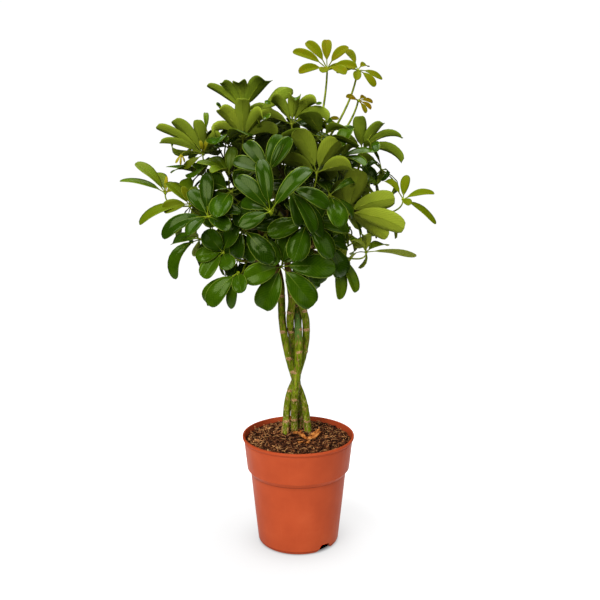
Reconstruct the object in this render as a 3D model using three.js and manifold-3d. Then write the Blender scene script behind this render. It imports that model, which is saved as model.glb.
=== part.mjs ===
// Potted umbrella plant: a plastic nursery pot, its potting mix, four braided stems and sixteen
// leafy shoots. Millimetres. The middle of the pot's underside is the origin, +Z is up, +X is the
// right of the front view and +Y points to the back.
import * as THREE from 'three';
import { mergeVertices } from 'three/addons/utils/BufferGeometryUtils.js';
import Module from 'manifold-3d';

const wasm = await Module();
wasm.setup();

// Pot: a 19 cm nursery pot with a wide band under the rim
const RIM_RADIUS = 95;
const POT_HEIGHT = 190;
const LIP_HEIGHT = 4;
const BAND_TOP_RADIUS = 92.9;
const BAND_FOOT_RADIUS = 87.3;
const BAND_FOOT_HEIGHT = 133.5;
const WALL_TOP_RADIUS = 81.4;
const WALL_TOP_HEIGHT = 125.5;
const WALL_FOOT_RADIUS = 69.6;
const WALL_FOOT_HEIGHT = 9;
const FOOT_RADIUS = 64;
const FOOT_RING_INNER_RADIUS = 56;
const WALL_THICKNESS = 2;
const LIP_WIDTH = 3;
const LIP_EDGE = 0.8;
const FLOOR_UNDERSIDE = 4;
const FLOOR_TOP = 6.5;
const FLOOR_CORNER = 6;
const FOOT_SLOPE = 3;
const PAD_RADIUS = 14;
const POT_SEGMENTS = 32;
// Rounded corner between foot and wall: share of its width, and height
const FOOT_CORNER = [[0.55, 1.6], [0.88, 4.6]];

// Drain notches in the foot: wide at the floor, narrow at the top
const NOTCH_WIDTH_BELOW = 34;
const NOTCH_WIDTH_ABOVE = 15;
const NOTCH_HEIGHT = 12.5;
const NOTCH_START_RADIUS = 54;
const NOTCH_DEPTH = 24;
const NOTCH_TURNS = [-49, 131];

// Room between pieces that touch
const CLEARANCE = 0.3;

// Potting mix
const SOIL_EDGE_HEIGHT = 178;
const SOIL_MOUND_HEIGHT = 9;
const SOIL_RELIEF = 1.6;
const SOIL_RINGS = 6;
const SOIL_SEGMENTS = 24;
const TRUNK_CENTRE_Y = 20;

// Stems: bare below, thinner where they carry the crown, a little swollen at the leaf scars
const STEM_RADIUS = 6.2;
const STEM_TOP_RADIUS = 4.6;
const STEM_THINS_FROM = 430;
const STEM_THINS_TO = 575;
const SCAR_SPACING = 58;
const SCAR_RELIEF = 0.35;
const STEM_SIDES = 8;
const STEM_STEPS = 21;
const STEM_SAMPLES = 160;
const STEM_CORE = 4;
const HEIGHT_SAMPLES = 400;
// Centre lines from inside the mix to the crown, all at the same heights
const STEMS = {
  stem_left: [
    [18, 24, 120], [17, 24, 178], [14.4, 22, 210], [7.9, 20, 245], [-3.3, 12, 278], [-14.6, 12, 316],
    [-22, 11.4, 351], [-26.9, 14, 386], [-28, 16, 420], [-30, 14, 454], [-40, 8, 490], [-58, 0, 530],
    [-72, -6, 575],
  ],
  stem_front: [
    [-7.2, 24, 120], [-7.2, 24, 178], [-7.2, 19, 210], [-6, 9, 245], [-3.6, -2, 278], [-0.4, -3, 316],
    [0.8, 2, 351], [-0.8, 14, 386], [-2.3, 26, 420], [-5, 34, 454], [0, 44, 490], [8, 55, 530],
    [14, 62, 575],
  ],
  stem_right: [
    [-23.2, 14, 120], [-23.2, 14, 178], [-20.8, 18, 210], [-17, 24, 245], [-5.8, 25.5, 278],
    [6.4, 24, 316], [12.6, 20, 351], [12.5, 10, 386], [5, 8, 420], [2, 16, 454], [12, 14, 490],
    [32, 10, 530], [52, 6, 575],
  ],
  stem_back: [
    [3, 40, 120], [3, 40, 178], [2, 39, 210], [0, 38, 245], [-3, 39, 278], [-6, 35, 316],
    [-10.3, 25.5, 351], [-13.6, 8, 386], [-10.7, 3, 420], [-14, 1, 454], [-18, -6, 490], [-22, -24, 530],
    [-20, -42, 575],
  ],
};

// Leafy shoots: the stem each grows from, the height it leaves at, and its tip
const SHOOT_RADIUS = 3.8;
const SHOOT_TIP_RADIUS = 2.4;
const SHOOT_STEPS = 3;
const SHOOT_SIDES = 5;
const SHOOT_SAG = 0.1;
const SHOOTS = {
  shoot_upper_left: { stem: 'stem_left', height: 571, tip: [-118, 0, 640] },
  shoot_left: { stem: 'stem_left', height: 545, tip: [-118, -50, 560] },
  shoot_far_left: { stem: 'stem_left', height: 558, tip: [-150, 10, 590] },
  shoot_lower_left: { stem: 'stem_left', height: 500, tip: [-88, -62, 500] },
  shoot_back_left: { stem: 'stem_left', height: 515, tip: [-110, 75, 560] },
  shoot_centre: { stem: 'stem_back', height: 571, tip: [-34, -95, 600] },
  shoot_low_front: { stem: 'stem_back', height: 500, tip: [-22, -60, 505] },
  shoot_front_right: { stem: 'stem_back', height: 548, tip: [22, -80, 600] },
  shoot_right: { stem: 'stem_right', height: 571, tip: [92, 0, 630] },
  shoot_far_right: { stem: 'stem_right', height: 552, tip: [95, -42, 575] },
  shoot_lower_right: { stem: 'stem_right', height: 505, tip: [70, -20, 500] },
  shoot_back_right: { stem: 'stem_right', height: 535, tip: [105, 60, 570] },
  shoot_top: { stem: 'stem_front', height: 573, tip: [28, 22, 680] },
  shoot_top_left: { stem: 'stem_front', height: 566, tip: [-52, 38, 680] },
  shoot_back: { stem: 'stem_front', height: 545, tip: [0, 125, 610] },
  shoot_low_back: { stem: 'stem_front', height: 495, tip: [10, 110, 510] },
};

// Leaves seen from the front. Each has its hub, the way its upper face looks, the width of its
// leaflets, and the tip of each leaflet as seen from the hub.
const FRONT_LEAVES = [
  { shoot: 'shoot_low_front', hub: [-26, -92, 496], facing: [0, -0.95, 0.3], width: 34,
    tips: [[-58, -8, -20], [11, 8, 55], [84, 0, 2], [-28, -6, -66], [51, -6, -60], [42, 22, 38]] },
  { shoot: 'shoot_centre', hub: [-40, -165, 589], facing: [0, -0.8, 0.6], width: 28,
    tips: [[-13, 22, 77], [-48, 14, 50], [60, 8, 66], [-42, -20, -20], [-44, 30, 12]] },
  { shoot: 'shoot_front_right', hub: [-14, -128, 620], facing: [0.35, -0.85, 0.45], width: 26,
    tips: [[60, -10, -26], [18, -14, -56], [40, -12, -66], [56, 4, -72]] },
  { shoot: 'shoot_front_right', hub: [28, -100, 640], facing: [0, 0.75, 0.66], width: 32,
    tips: [[-31, 0, 69], [32, -6, 52], [56, -22, 12], [-50, 20, 20], [8, 60, 30]] },
  { shoot: 'shoot_far_right', hub: [76, -60, 576], facing: [-0.1, 0.85, 0.5], width: 34,
    tips: [[23, 4, 64], [74, 4, 24], [90, -8, -22], [68, 24, -34], [-13, 24, 48], [-50, 8, 4]] },
  { shoot: 'shoot_far_right', hub: [165, -40, 594], facing: [0, -0.35, 0.94], width: 17,
    tips: [[5, 20, 38], [-28, 16, 30], [50, 2, 8], [50, -8, -40], [4, -36, -6]] },
  { shoot: 'shoot_lower_right', hub: [108, -40, 510], facing: [0, -0.25, 0.97], width: 22,
    tips: [[80, 0, -8], [-24, -20, 24], [6, 6, 40], [36, 46, 6], [-30, 50, 0]] },
  { shoot: 'shoot_lower_right', hub: [61, -34, 509], facing: [0.3, -0.6, 0.74], width: 24,
    tips: [[8, -16, -74], [32, -8, -64], [60, 26, -20], [4, 16, 34]] },
  { shoot: 'shoot_left', hub: [-135, -110, 575], facing: [-0.2, -0.55, 0.8], width: 26,
    tips: [[-71, -6, -28], [50, -16, 12], [0, 18, 66], [-27, 18, 40], [34, -36, -14], [-28, -40, -22]] },
  { shoot: 'shoot_lower_left', hub: [-115, -92, 518], facing: [-0.25, -0.8, 0.5], width: 30,
    tips: [[-26, -20, 36], [-42, -12, -6], [32, 6, 38], [-30, -20, -36], [12, -26, -22]] },
  { shoot: 'shoot_lower_left', hub: [-91, -112, 490], facing: [-0.2, -0.85, 0.5], width: 27,
    tips: [[-48, -10, -47], [10, -10, 38], [13, -18, -35], [-60, 12, -50], [-14, 4, -58]] },
  { shoot: 'shoot_far_left', hub: [-152, -60, 534], facing: [-0.6, -0.4, 0.7], width: 25,
    tips: [[-47, -4, -64], [-24, -30, 6], [-52, 40, -14], [-10, 50, -34]] },
  { shoot: 'shoot_far_left', hub: [-210, -30, 603], facing: [0.1, -0.15, 0.98], width: 24,
    tips: [[-48, 6, 46], [-70, -6, 20], [30, 40, 10], [-20, 56, 26]] },
  { shoot: 'shoot_far_left', hub: [-169, -52, 585], facing: [-0.2, -0.2, 0.95], width: 25,
    tips: [[-82, 0, -29], [-44, 28, 12], [-10, 40, 36], [24, 44, 8]] },
  { shoot: 'shoot_upper_left', hub: [-148, -36, 664], facing: [0.15, 0.65, 0.74], width: 25,
    tips: [[-70, -8, 44], [-64, -22, 20], [-44, -14, 52], [-70, 14, -2], [-10, -26, 48], [20, 54, -14],
      [36, -14, 30]] },
  { shoot: 'shoot_top_left', hub: [-88, 14, 730], facing: [0, 0.75, 0.66], width: 27,
    tips: [[-56, -2, 42], [-33, -12, 48], [-8, -16, 54], [42, -12, 60], [-54, 30, -8], [0, 60, -26],
      [50, 34, -6]] },
  { shoot: 'shoot_upper_left', hub: [-85, -44, 688], facing: [0, 0.72, 0.69], width: 29,
    tips: [[-34, -12, 48], [0, -18, 62], [38, -20, 48], [-60, 6, 12], [56, 6, 12], [-10, 58, -32]] },
  { shoot: 'shoot_top', hub: [-10, -36, 710], facing: [0, 0.7, 0.7], width: 28,
    tips: [[-40, -8, 48], [44, -6, 42], [62, -4, 14], [-62, 4, 12], [6, -22, 56], [0, 56, -22]] },
  { shoot: 'shoot_top', hub: [46, 20, 795], facing: [0, -0.42, 0.91], width: 16,
    tips: [[-46, -16, -5], [-55, -2, 26], [-34, 16, 43], [-3, 26, 47], [32, 12, 36], [46, -10, 4],
      [30, -36, -7], [-6, -40, -6]] },
  { shoot: 'shoot_top', hub: [95, 30, 794], facing: [0.1, -0.3, 0.95], width: 13,
    tips: [[-13, 14, 39], [-36, -14, 20], [19, 40, 8], [40, 8, -15], [28, -16, -26], [-2, -38, -8],
      [-48, 4, 2]] },
  { shoot: 'shoot_top', hub: [96, 15, 746], facing: [0.2, -0.3, 0.93], width: 8,
    tips: [[-20, 0, 6], [-14, -12, 2], [12, -10, -20], [20, -2, -14], [24, 6, -2], [12, 18, 6]] },
  { shoot: 'shoot_top', hub: [43, 6, 714], facing: [0, -0.3, 0.95], width: 7,
    tips: [[-20, 0, 8], [-16, -10, -2], [16, -6, -6], [22, 4, 4], [6, 18, 6]] },
  { shoot: 'shoot_right', hub: [102, 0, 668], facing: [-0.1, 0.65, 0.75], width: 24,
    tips: [[-6, -12, 54], [31, -12, 46], [64, -6, 28], [70, 10, -14], [20, -44, 10], [-44, -18, 20],
      [-30, 50, -20]] },
  { shoot: 'shoot_right', hub: [60, -40, 655], facing: [0.1, -0.3, 0.95], width: 26,
    tips: [[-24, 16, 46], [30, 10, 50], [58, -10, 12], [40, -44, -4], [-6, -58, 2]] },
  { shoot: 'shoot_centre', hub: [-44, -118, 640], facing: [0, -0.85, 0.52], width: 24,
    tips: [[14, 16, 58], [-32, 20, 46], [36, 12, 50], [-52, 6, 18]] },
  { shoot: 'shoot_left', hub: [-105, -84, 637], facing: [0, -0.3, 0.95], width: 20,
    tips: [[-48, 2, 20], [8, 10, 42], [40, -30, 6], [-20, -46, 6], [-30, 34, 24]] },
];

// Leaves over the back, sides and inside of the crown, placed by rule on an ellipsoid of hubs
const CROWN_CENTRE = [-14, 12, 612];
const CROWN_REACH = [160, 150, 112];
const RING_LEAF_LENGTH = 70;
const RING_LEAF_WIDTH = 31;
const BACK_LEAFLETS = 7;
const MIDDLE_LEAFLETS = 6;
const BACK_RINGS = [
  { height: -0.72, from: -10, to: 190, count: 5 },
  { height: -0.28, from: 0, to: 180, count: 7 },
  { height: 0.2, from: 12, to: 170, count: 6 },
  { height: 0.62, from: 20, to: 160, count: 4 },
  { height: 0.9, from: 70, to: 110, count: 1 },
];
// Leaves that fill the crown between the ones seen in front, each with its hub and facing
const MIDDLE_LEAVES = [
  { hub: [-70, -78, 606], facing: [-0.1, -0.7, 0.7] },
  { hub: [-100, -100, 612], facing: [-0.2, -0.75, 0.6] },
  { hub: [-84, -96, 556], facing: [-0.2, -0.8, 0.5] },
  { hub: [-50, -88, 546], facing: [0, -0.85, 0.5] },
  { hub: [14, -96, 566], facing: [0.2, -0.8, 0.55] },
  { hub: [42, -72, 532], facing: [0.3, -0.8, 0.5] },
  { hub: [48, -92, 606], facing: [0.25, -0.7, 0.65] },
  { hub: [36, -62, 692], facing: [0, 0.4, 0.9] },
  { hub: [-112, -40, 682], facing: [-0.1, 0.4, 0.9] },
  { hub: [-150, -4, 626], facing: [-0.3, 0.1, 0.95] },
  { hub: [-132, -66, 548], facing: [-0.4, -0.6, 0.7] },
  { hub: [-2, -66, 502], facing: [0.1, -0.7, 0.7] },
  { hub: [112, 6, 616], facing: [0.3, 0.1, 0.95] },
  { hub: [-40, -10, 700], facing: [0, 0.3, 0.95] },
  { hub: [62, 44, 690], facing: [0.2, 0.4, 0.9] },
];

// Petioles: a bow that leaves the shoot near its tip and meets the hub from behind. The one of
// these bends, in millimetres to the side and along, that meets the fewest others is taken.
const PETIOLE_RADIUS = 1.7;
const PETIOLE_END_RADIUS = 1.3;
const PETIOLE_STEPS = 3;
const PETIOLE_SIDES = 3;
const PETIOLE_BOW = 0.4;
const PETIOLE_BENDS = [
  [0, 0], [12, 0], [-12, 0], [0, 12], [0, -12], [22, 10], [-22, 10], [22, -10], [-22, -10],
  [0, 26], [0, -26], [36, 0], [-36, 0],
];
const FIRST_PETIOLE_SHARE = 0.97;
const LAST_PETIOLE_SHARE = 0.55;
const PETIOLE_SPACING = 0.1;

// Hub where the leaflets meet
const HUB_RADIUS = 2.6;
const HUB_HALF_HEIGHT = 1.8;

// Leaflets: a short stalk, then a three-sided blade with its keel below. A leaflet that meets
// another is turned by the next of these pairs of degrees, to the side and up, and then shortened.
const OUTLINE_RISE = 0.9;
const OUTLINE_FALL = 0.42;
const WIDEST_SHARE = OUTLINE_RISE / (OUTLINE_RISE + OUTLINE_FALL);
const STALK_SHARE = 0.14;
const STALK_HALF_WIDTH = 1.1;
const STALK_KEEL = 1.6;
const BLADE_KEEL = 1.5;
const BLADE_ARCH = 0.1;
const BLADE_TURNS = [
  [0, 0], [0, 7], [0, -7], [7, 0], [-7, 0], [0, 14], [0, -14], [7, 10], [-7, 10], [7, -10],
  [-7, -10], [0, 21], [0, -21], [12, 0], [-12, 0], [0, 28], [0, -28], [12, 16], [-12, 16],
  [12, -16], [-12, -16], [0, 36], [0, -36],
];
const BLADE_SCALES = [1, 0.8];
const FEWEST_BLADES = 3;
// Whole turns of a leaf about its hub that are tried, in degrees
const FRONT_TURNS = [0];
const RING_TURNS = [0, 17, 34];
// Shares of a blade's length where its outline has points
const FULL_OUTLINE = [0.35, 0.68, 0.92];
const PLAIN_OUTLINE = [0.5, 0.86];

// Room kept between leaves: the crown is divided into small cells, and a blade takes the cells
// around it. A cell holds the number of its leaf, or SHARED where several pieces meet.
const CELL = 4;
const CROWN_LOW = [-330, -280, 380];
const CROWN_CELLS = [145, 140, 125];
const SHARED = -1;

const UP = new THREE.Vector3(0, 0, 1);
const RIGHT = new THREE.Vector3(1, 0, 0);
const vector = (list) => new THREE.Vector3(...list);
const toRadians = THREE.MathUtils.degToRad;

// Solids

// Closed mesh over rings of points, each ring with the same number, closed at a point at each end
function loft(rings, first, last) {
  const sides = rings[0].length;
  const points = [first, ...rings.flat(), last];
  const faces = [];
  const end = points.length - 1;
  const start = end - sides;
  for (let i = 0; i < sides; i += 1) {
    const next = (i + 1) % sides;
    faces.push([0, 1 + next, 1 + i], [end, start + i, start + next]);
    for (let r = 0; r + 1 < rings.length; r += 1) {
      const low = 1 + r * sides;
      const high = low + sides;
      faces.push([low + i, low + next, high + next], [low + i, high + next, high + i]);
    }
  }
  const geometry = new THREE.BufferGeometry();
  geometry.setFromPoints(points);
  geometry.setIndex(faces.flat());
  return geometry;
}

// Round rod of changing radius along a list of centre points
function rod(centres, radii, sides) {
  const rings = centres.map((centre, i) => {
    const before = centres[Math.max(i - 1, 0)];
    const after = centres[Math.min(i + 1, centres.length - 1)];
    const along = after.clone().sub(before).normalize();
    const across = sideways(along);
    const other = along.clone().cross(across);
    return Array.from({ length: sides }, (_, k) => {
      const turn = (2 * Math.PI * k) / sides;
      return centre.clone()
        .addScaledVector(across, radii[i] * Math.cos(turn))
        .addScaledVector(other, radii[i] * Math.sin(turn));
    });
  });
  return loft(rings, centres[0], centres[centres.length - 1]);
}

// Unit vector square to a direction, close to +X for a rod that stands and to the level otherwise
function sideways(along) {
  const base = Math.abs(along.z) > 0.8 ? new THREE.Vector3(0, 1, 0) : UP;
  return base.clone().cross(along).normalize();
}

function toSolid(geometry) {
  const bare = geometry.clone();
  bare.deleteAttribute('normal');
  bare.deleteAttribute('uv');
  const merged = mergeVertices(bare, 1e-3);
  const kept = [];
  const index = merged.index.array;
  for (let i = 0; i < index.length; i += 3) {
    const [a, b, c] = index.slice(i, i + 3);
    if (a !== b && b !== c && a !== c) {
      kept.push(a, b, c);
    }
  }
  const mesh = new wasm.Mesh({
    numProp: 3,
    vertProperties: new Float32Array(merged.attributes.position.array),
    triVerts: new Uint32Array(kept),
  });
  return new wasm.Manifold(mesh);
}

function toGeometry(solid) {
  const mesh = solid.getMesh();
  const geometry = new THREE.BufferGeometry();
  geometry.setAttribute('position', new THREE.BufferAttribute(mesh.vertProperties, 3));
  geometry.setIndex(new THREE.BufferAttribute(mesh.triVerts, 1));
  return geometry;
}

// Lathed shell about +Z from a closed outline of [radius, height] points
function lathe(outline, segments) {
  const points = outline.map(([radius, height]) => new THREE.Vector2(radius, height));
  const geometry = new THREE.LatheGeometry(points, segments);
  geometry.rotateX(Math.PI / 2);
  return geometry;
}

// Pot

function wallRadius(height) {
  const share = (height - WALL_FOOT_HEIGHT) / (WALL_TOP_HEIGHT - WALL_FOOT_HEIGHT);
  return THREE.MathUtils.lerp(WALL_FOOT_RADIUS, WALL_TOP_RADIUS, share);
}

function buildPot() {
  const corner = WALL_FOOT_RADIUS - FOOT_RADIUS;
  const outline = [
    [0, 0], [PAD_RADIUS, 0], [PAD_RADIUS + 1, FLOOR_UNDERSIDE],
    [FOOT_RING_INNER_RADIUS - FOOT_SLOPE, FLOOR_UNDERSIDE], [FOOT_RING_INNER_RADIUS, 0],
    [FOOT_RADIUS, 0],
    ...FOOT_CORNER.map(([share, height]) => [FOOT_RADIUS + share * corner, height]),
    [WALL_FOOT_RADIUS, WALL_FOOT_HEIGHT], [WALL_TOP_RADIUS, WALL_TOP_HEIGHT],
    [BAND_FOOT_RADIUS, BAND_FOOT_HEIGHT], [BAND_TOP_RADIUS, POT_HEIGHT - LIP_HEIGHT - 1],
    [RIM_RADIUS, POT_HEIGHT - LIP_HEIGHT], [RIM_RADIUS, POT_HEIGHT - LIP_EDGE],
    [RIM_RADIUS - LIP_EDGE, POT_HEIGHT], [RIM_RADIUS - LIP_WIDTH, POT_HEIGHT],
    [BAND_TOP_RADIUS - WALL_THICKNESS, POT_HEIGHT - LIP_HEIGHT - 2],
    [BAND_FOOT_RADIUS - WALL_THICKNESS, BAND_FOOT_HEIGHT + 1],
    [WALL_TOP_RADIUS - WALL_THICKNESS, WALL_TOP_HEIGHT + 1],
    [wallRadius(FLOOR_TOP + FLOOR_CORNER) - WALL_THICKNESS, FLOOR_TOP + FLOOR_CORNER],
    [FOOT_RADIUS - WALL_THICKNESS, FLOOR_TOP], [0, FLOOR_TOP],
  ];
  let pot = toSolid(lathe(outline, POT_SEGMENTS));
  for (const turn of NOTCH_TURNS) {
    const shape = new THREE.Shape([
      new THREE.Vector2(-NOTCH_WIDTH_BELOW / 2, -1), new THREE.Vector2(NOTCH_WIDTH_BELOW / 2, -1),
      new THREE.Vector2(NOTCH_WIDTH_ABOVE / 2, NOTCH_HEIGHT),
      new THREE.Vector2(-NOTCH_WIDTH_ABOVE / 2, NOTCH_HEIGHT),
    ]);
    const cutter = new THREE.ExtrudeGeometry(shape, { depth: NOTCH_DEPTH, bevelEnabled: false });
    cutter.rotateX(Math.PI / 2);
    cutter.rotateZ(Math.PI / 2);
    cutter.translate(NOTCH_START_RADIUS, 0, 0);
    cutter.rotateZ(toRadians(turn));
    pot = pot.subtract(toSolid(cutter));
  }
  return pot;
}

// Potting mix: a plug that fills the pot, with a lumpy mounded top and a hole for each stem

function soilTop(x, y) {
  const away = Math.hypot(x, y - TRUNK_CENTRE_Y) / RIM_RADIUS;
  const mound = SOIL_MOUND_HEIGHT * Math.max(0, 1 - away * away);
  const lumps = Math.sin(x * 0.31 + y * 0.11) * Math.sin(y * 0.27 - x * 0.07 + 1.3);
  return SOIL_EDGE_HEIGHT + mound + SOIL_RELIEF * lumps;
}

function buildSoil(stems) {
  const edge = (height) => wallRadius(height) - WALL_THICKNESS - CLEARANCE;
  const bandShare = (SOIL_EDGE_HEIGHT - BAND_FOOT_HEIGHT) / (POT_HEIGHT - BAND_FOOT_HEIGHT);
  const rimInner = THREE.MathUtils.lerp(BAND_FOOT_RADIUS, BAND_TOP_RADIUS, bandShare);
  const topRadius = rimInner - WALL_THICKNESS - 2 * CLEARANCE;
  const ring = (radius, height) => Array.from({ length: SOIL_SEGMENTS }, (_, k) => {
    const turn = (2 * Math.PI * k) / SOIL_SEGMENTS;
    const x = radius * Math.cos(turn);
    const y = radius * Math.sin(turn);
    return new THREE.Vector3(x, y, height ?? soilTop(x, y));
  });
  const bottom = FLOOR_TOP + CLEARANCE;
  const rings = [
    ring(FOOT_RADIUS - WALL_THICKNESS - 1, bottom),
    ring(edge(FLOOR_TOP + FLOOR_CORNER), FLOOR_TOP + FLOOR_CORNER + 1),
    ring(WALL_TOP_RADIUS - WALL_THICKNESS - 2 * CLEARANCE, WALL_TOP_HEIGHT + 1),
    ring(BAND_FOOT_RADIUS - WALL_THICKNESS - 2 * CLEARANCE, BAND_FOOT_HEIGHT + 2.5),
  ];
  for (let r = SOIL_RINGS; r > 0; r -= 1) {
    rings.push(ring((topRadius * r) / SOIL_RINGS));
  }
  const first = new THREE.Vector3(0, 0, bottom);
  const last = new THREE.Vector3(0, 0, soilTop(0, 0));
  let soil = toSolid(loft(rings, first, last));
  for (const stem of Object.values(stems)) {
    soil = soil.subtract(toSolid(stemRod(stem.curve, CLEARANCE)));
  }
  return soil;
}

// Stems

function stemRadius(height) {
  const scar = SCAR_RELIEF * Math.max(0, Math.cos((2 * Math.PI * height) / SCAR_SPACING)) ** 8;
  const taper = THREE.MathUtils.smoothstep(height, STEM_THINS_FROM, STEM_THINS_TO);
  return THREE.MathUtils.lerp(STEM_RADIUS, STEM_TOP_RADIUS, taper) + scar;
}

function stemRod(curve, growth) {
  const centres = [];
  for (let i = 0; i <= STEM_STEPS; i += 1) {
    centres.push(curve.getPoint(i / STEM_STEPS));
  }
  return rod(centres, centres.map((centre) => stemRadius(centre.z) + growth), STEM_SIDES);
}

function stemPointAt(curve, height) {
  let best = curve.getPoint(1);
  for (let i = 0; i <= HEIGHT_SAMPLES; i += 1) {
    const point = curve.getPoint(i / HEIGHT_SAMPLES);
    if (Math.abs(point.z - height) < Math.abs(best.z - height)) {
      best = point;
    }
  }
  return best;
}

// Cells of the crown, each with the number of the leaf that fills it

const cells = new Int16Array(CROWN_CELLS[0] * CROWN_CELLS[1] * CROWN_CELLS[2]);

function cellOf(point) {
  return [point.x, point.y, point.z].map((value, i) => Math.floor((value - CROWN_LOW[i]) / CELL));
}

function cellIndex(cell) {
  return (cell[0] * CROWN_CELLS[1] + cell[1]) * CROWN_CELLS[2] + cell[2];
}

function inCrown(cell) {
  return cell.every((value, i) => value > 0 && value < CROWN_CELLS[i] - 1);
}

function take(points, owner) {
  for (const point of points) {
    const cell = cellOf(point);
    if (!inCrown(cell)) {
      continue;
    }
    for (let i = -1; i <= 1; i += 1) {
      for (let j = -1; j <= 1; j += 1) {
        for (let k = -1; k <= 1; k += 1) {
          const index = cellIndex([cell[0] + i, cell[1] + j, cell[2] + k]);
          const free = cells[index] === 0 || cells[index] === owner;
          cells[index] = free ? owner : SHARED;
        }
      }
    }
  }
}

function crowded(points, owner) {
  return points.filter((point) => {
    const cell = cellOf(point);
    if (!inCrown(cell)) {
      return false;
    }
    const found = cells[cellIndex(cell)];
    return found !== 0 && found !== owner;
  }).length;
}

// Petioles and shoots: bows, each from one point to another by way of a third

function bowPoint(bow, share) {
  const rest = 1 - share;
  return bow.from.clone().multiplyScalar(rest * rest)
    .addScaledVector(bow.by, 2 * rest * share)
    .addScaledVector(bow.to, share * share);
}

// Points of a bow clear of the pieces that it joins
function bowSamples(bow) {
  const samples = [];
  for (let i = 12; i <= 58; i += 1) {
    samples.push(bowPoint(bow, i / 60));
  }
  return samples;
}

function layPetiole(leaf, from) {
  const span = leaf.hub.clone().sub(from);
  const side = sideways(span.clone().normalize());
  const other = span.clone().normalize().cross(side);
  const to = leaf.hub.clone().addScaledVector(leaf.facing, -HUB_HALF_HEIGHT + 0.2);
  let best = null;
  let bestCrowd = Infinity;
  for (const [across, along] of PETIOLE_BENDS) {
    const by = leaf.hub.clone()
      .addScaledVector(leaf.facing, -PETIOLE_BOW * span.length())
      .addScaledVector(side, across)
      .addScaledVector(other, along);
    const bow = { from, by, to };
    const crowd = crowded(bowSamples(bow), leaf.owner);
    if (crowd < bestCrowd) {
      best = bow;
      bestCrowd = crowd;
    }
  }
  return best;
}

// Leaflet blades: an outline that is widest past the middle, arched from hub to tip

function bladeOutline(share) {
  return (share ** OUTLINE_RISE) * ((1 - share) ** OUTLINE_FALL);
}

function bladeHalfWidth(share, width) {
  return (width / 2) * (bladeOutline(share) / bladeOutline(WIDEST_SHARE));
}

function bladePoint(blade, share, across) {
  const lift = blade.arch * 4 * share * (1 - share);
  return blade.hub.clone()
    .addScaledVector(blade.reach, share)
    .addScaledVector(blade.normal, lift)
    .addScaledVector(blade.side, across);
}

// Points all over a blade, a cell or less apart, from clear of the hub to the tip
function bladeSamples(blade) {
  const samples = [];
  for (let i = 4; i <= 20; i += 1) {
    const share = i / 20;
    const beyondStalk = (share - STALK_SHARE) / (1 - STALK_SHARE);
    const half = bladeHalfWidth(Math.min(beyondStalk, 0.999), blade.width);
    const rows = Math.max(1, Math.ceil(half / CELL));
    for (let k = -rows; k <= rows; k += 1) {
      samples.push(bladePoint(blade, share, (half * k) / rows));
    }
  }
  return samples;
}

function makeBlade(leaf, reach, width) {
  const along = reach.clone().normalize();
  const normal = leaf.facing.clone().addScaledVector(along, -leaf.facing.dot(along)).normalize();
  const side = along.clone().cross(normal);
  const arch = reach.length() * BLADE_ARCH;
  return { hub: leaf.hub, reach, normal, side, width, arch, outline: leaf.outline };
}

// Lays one leaflet near its wanted tip, turned by small steps until it is clear of other leaves
function layBlade(leaf, tip, width) {
  const along = tip.clone().normalize();
  const tilt = along.clone().cross(leaf.facing).normalize();
  for (const scale of BLADE_SCALES) {
    for (const [swing, lift] of BLADE_TURNS) {
      const reach = tip.clone().multiplyScalar(scale)
        .applyAxisAngle(tilt, toRadians(lift))
        .applyAxisAngle(leaf.facing, toRadians(swing));
      const blade = makeBlade(leaf, reach, width * scale);
      if (crowded(bladeSamples(blade), leaf.owner) === 0) {
        return blade;
      }
    }
  }
  return null;
}

// Lays the leaflets of a leaf, turned about its hub to the place where most of them are clear
function layBlades(leaf) {
  let best = [];
  for (const turn of leaf.turns) {
    const tips = leaf.tips.map((tip) => tip.clone().applyAxisAngle(leaf.facing, toRadians(turn)));
    const blades = tips.map((tip) => layBlade(leaf, tip, leaf.width)).filter(Boolean);
    if (blades.length > best.length) {
      best = blades;
    }
  }
  return best.length < FEWEST_BLADES ? [] : best;
}

// Three-sided rings of a blade from its stalk towards its tip
function bladeRings(blade) {
  const rings = [[STALK_SHARE, STALK_HALF_WIDTH, STALK_KEEL]];
  for (const share of blade.outline) {
    const along = STALK_SHARE + share * (1 - STALK_SHARE);
    rings.push([along, bladeHalfWidth(share, blade.width), BLADE_KEEL]);
  }
  return rings.map(([share, half, keel]) => [
    bladePoint(blade, share, -half),
    bladePoint(blade, share, half),
    bladePoint(blade, share, 0).addScaledVector(blade.normal, -keel),
  ]);
}

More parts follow.
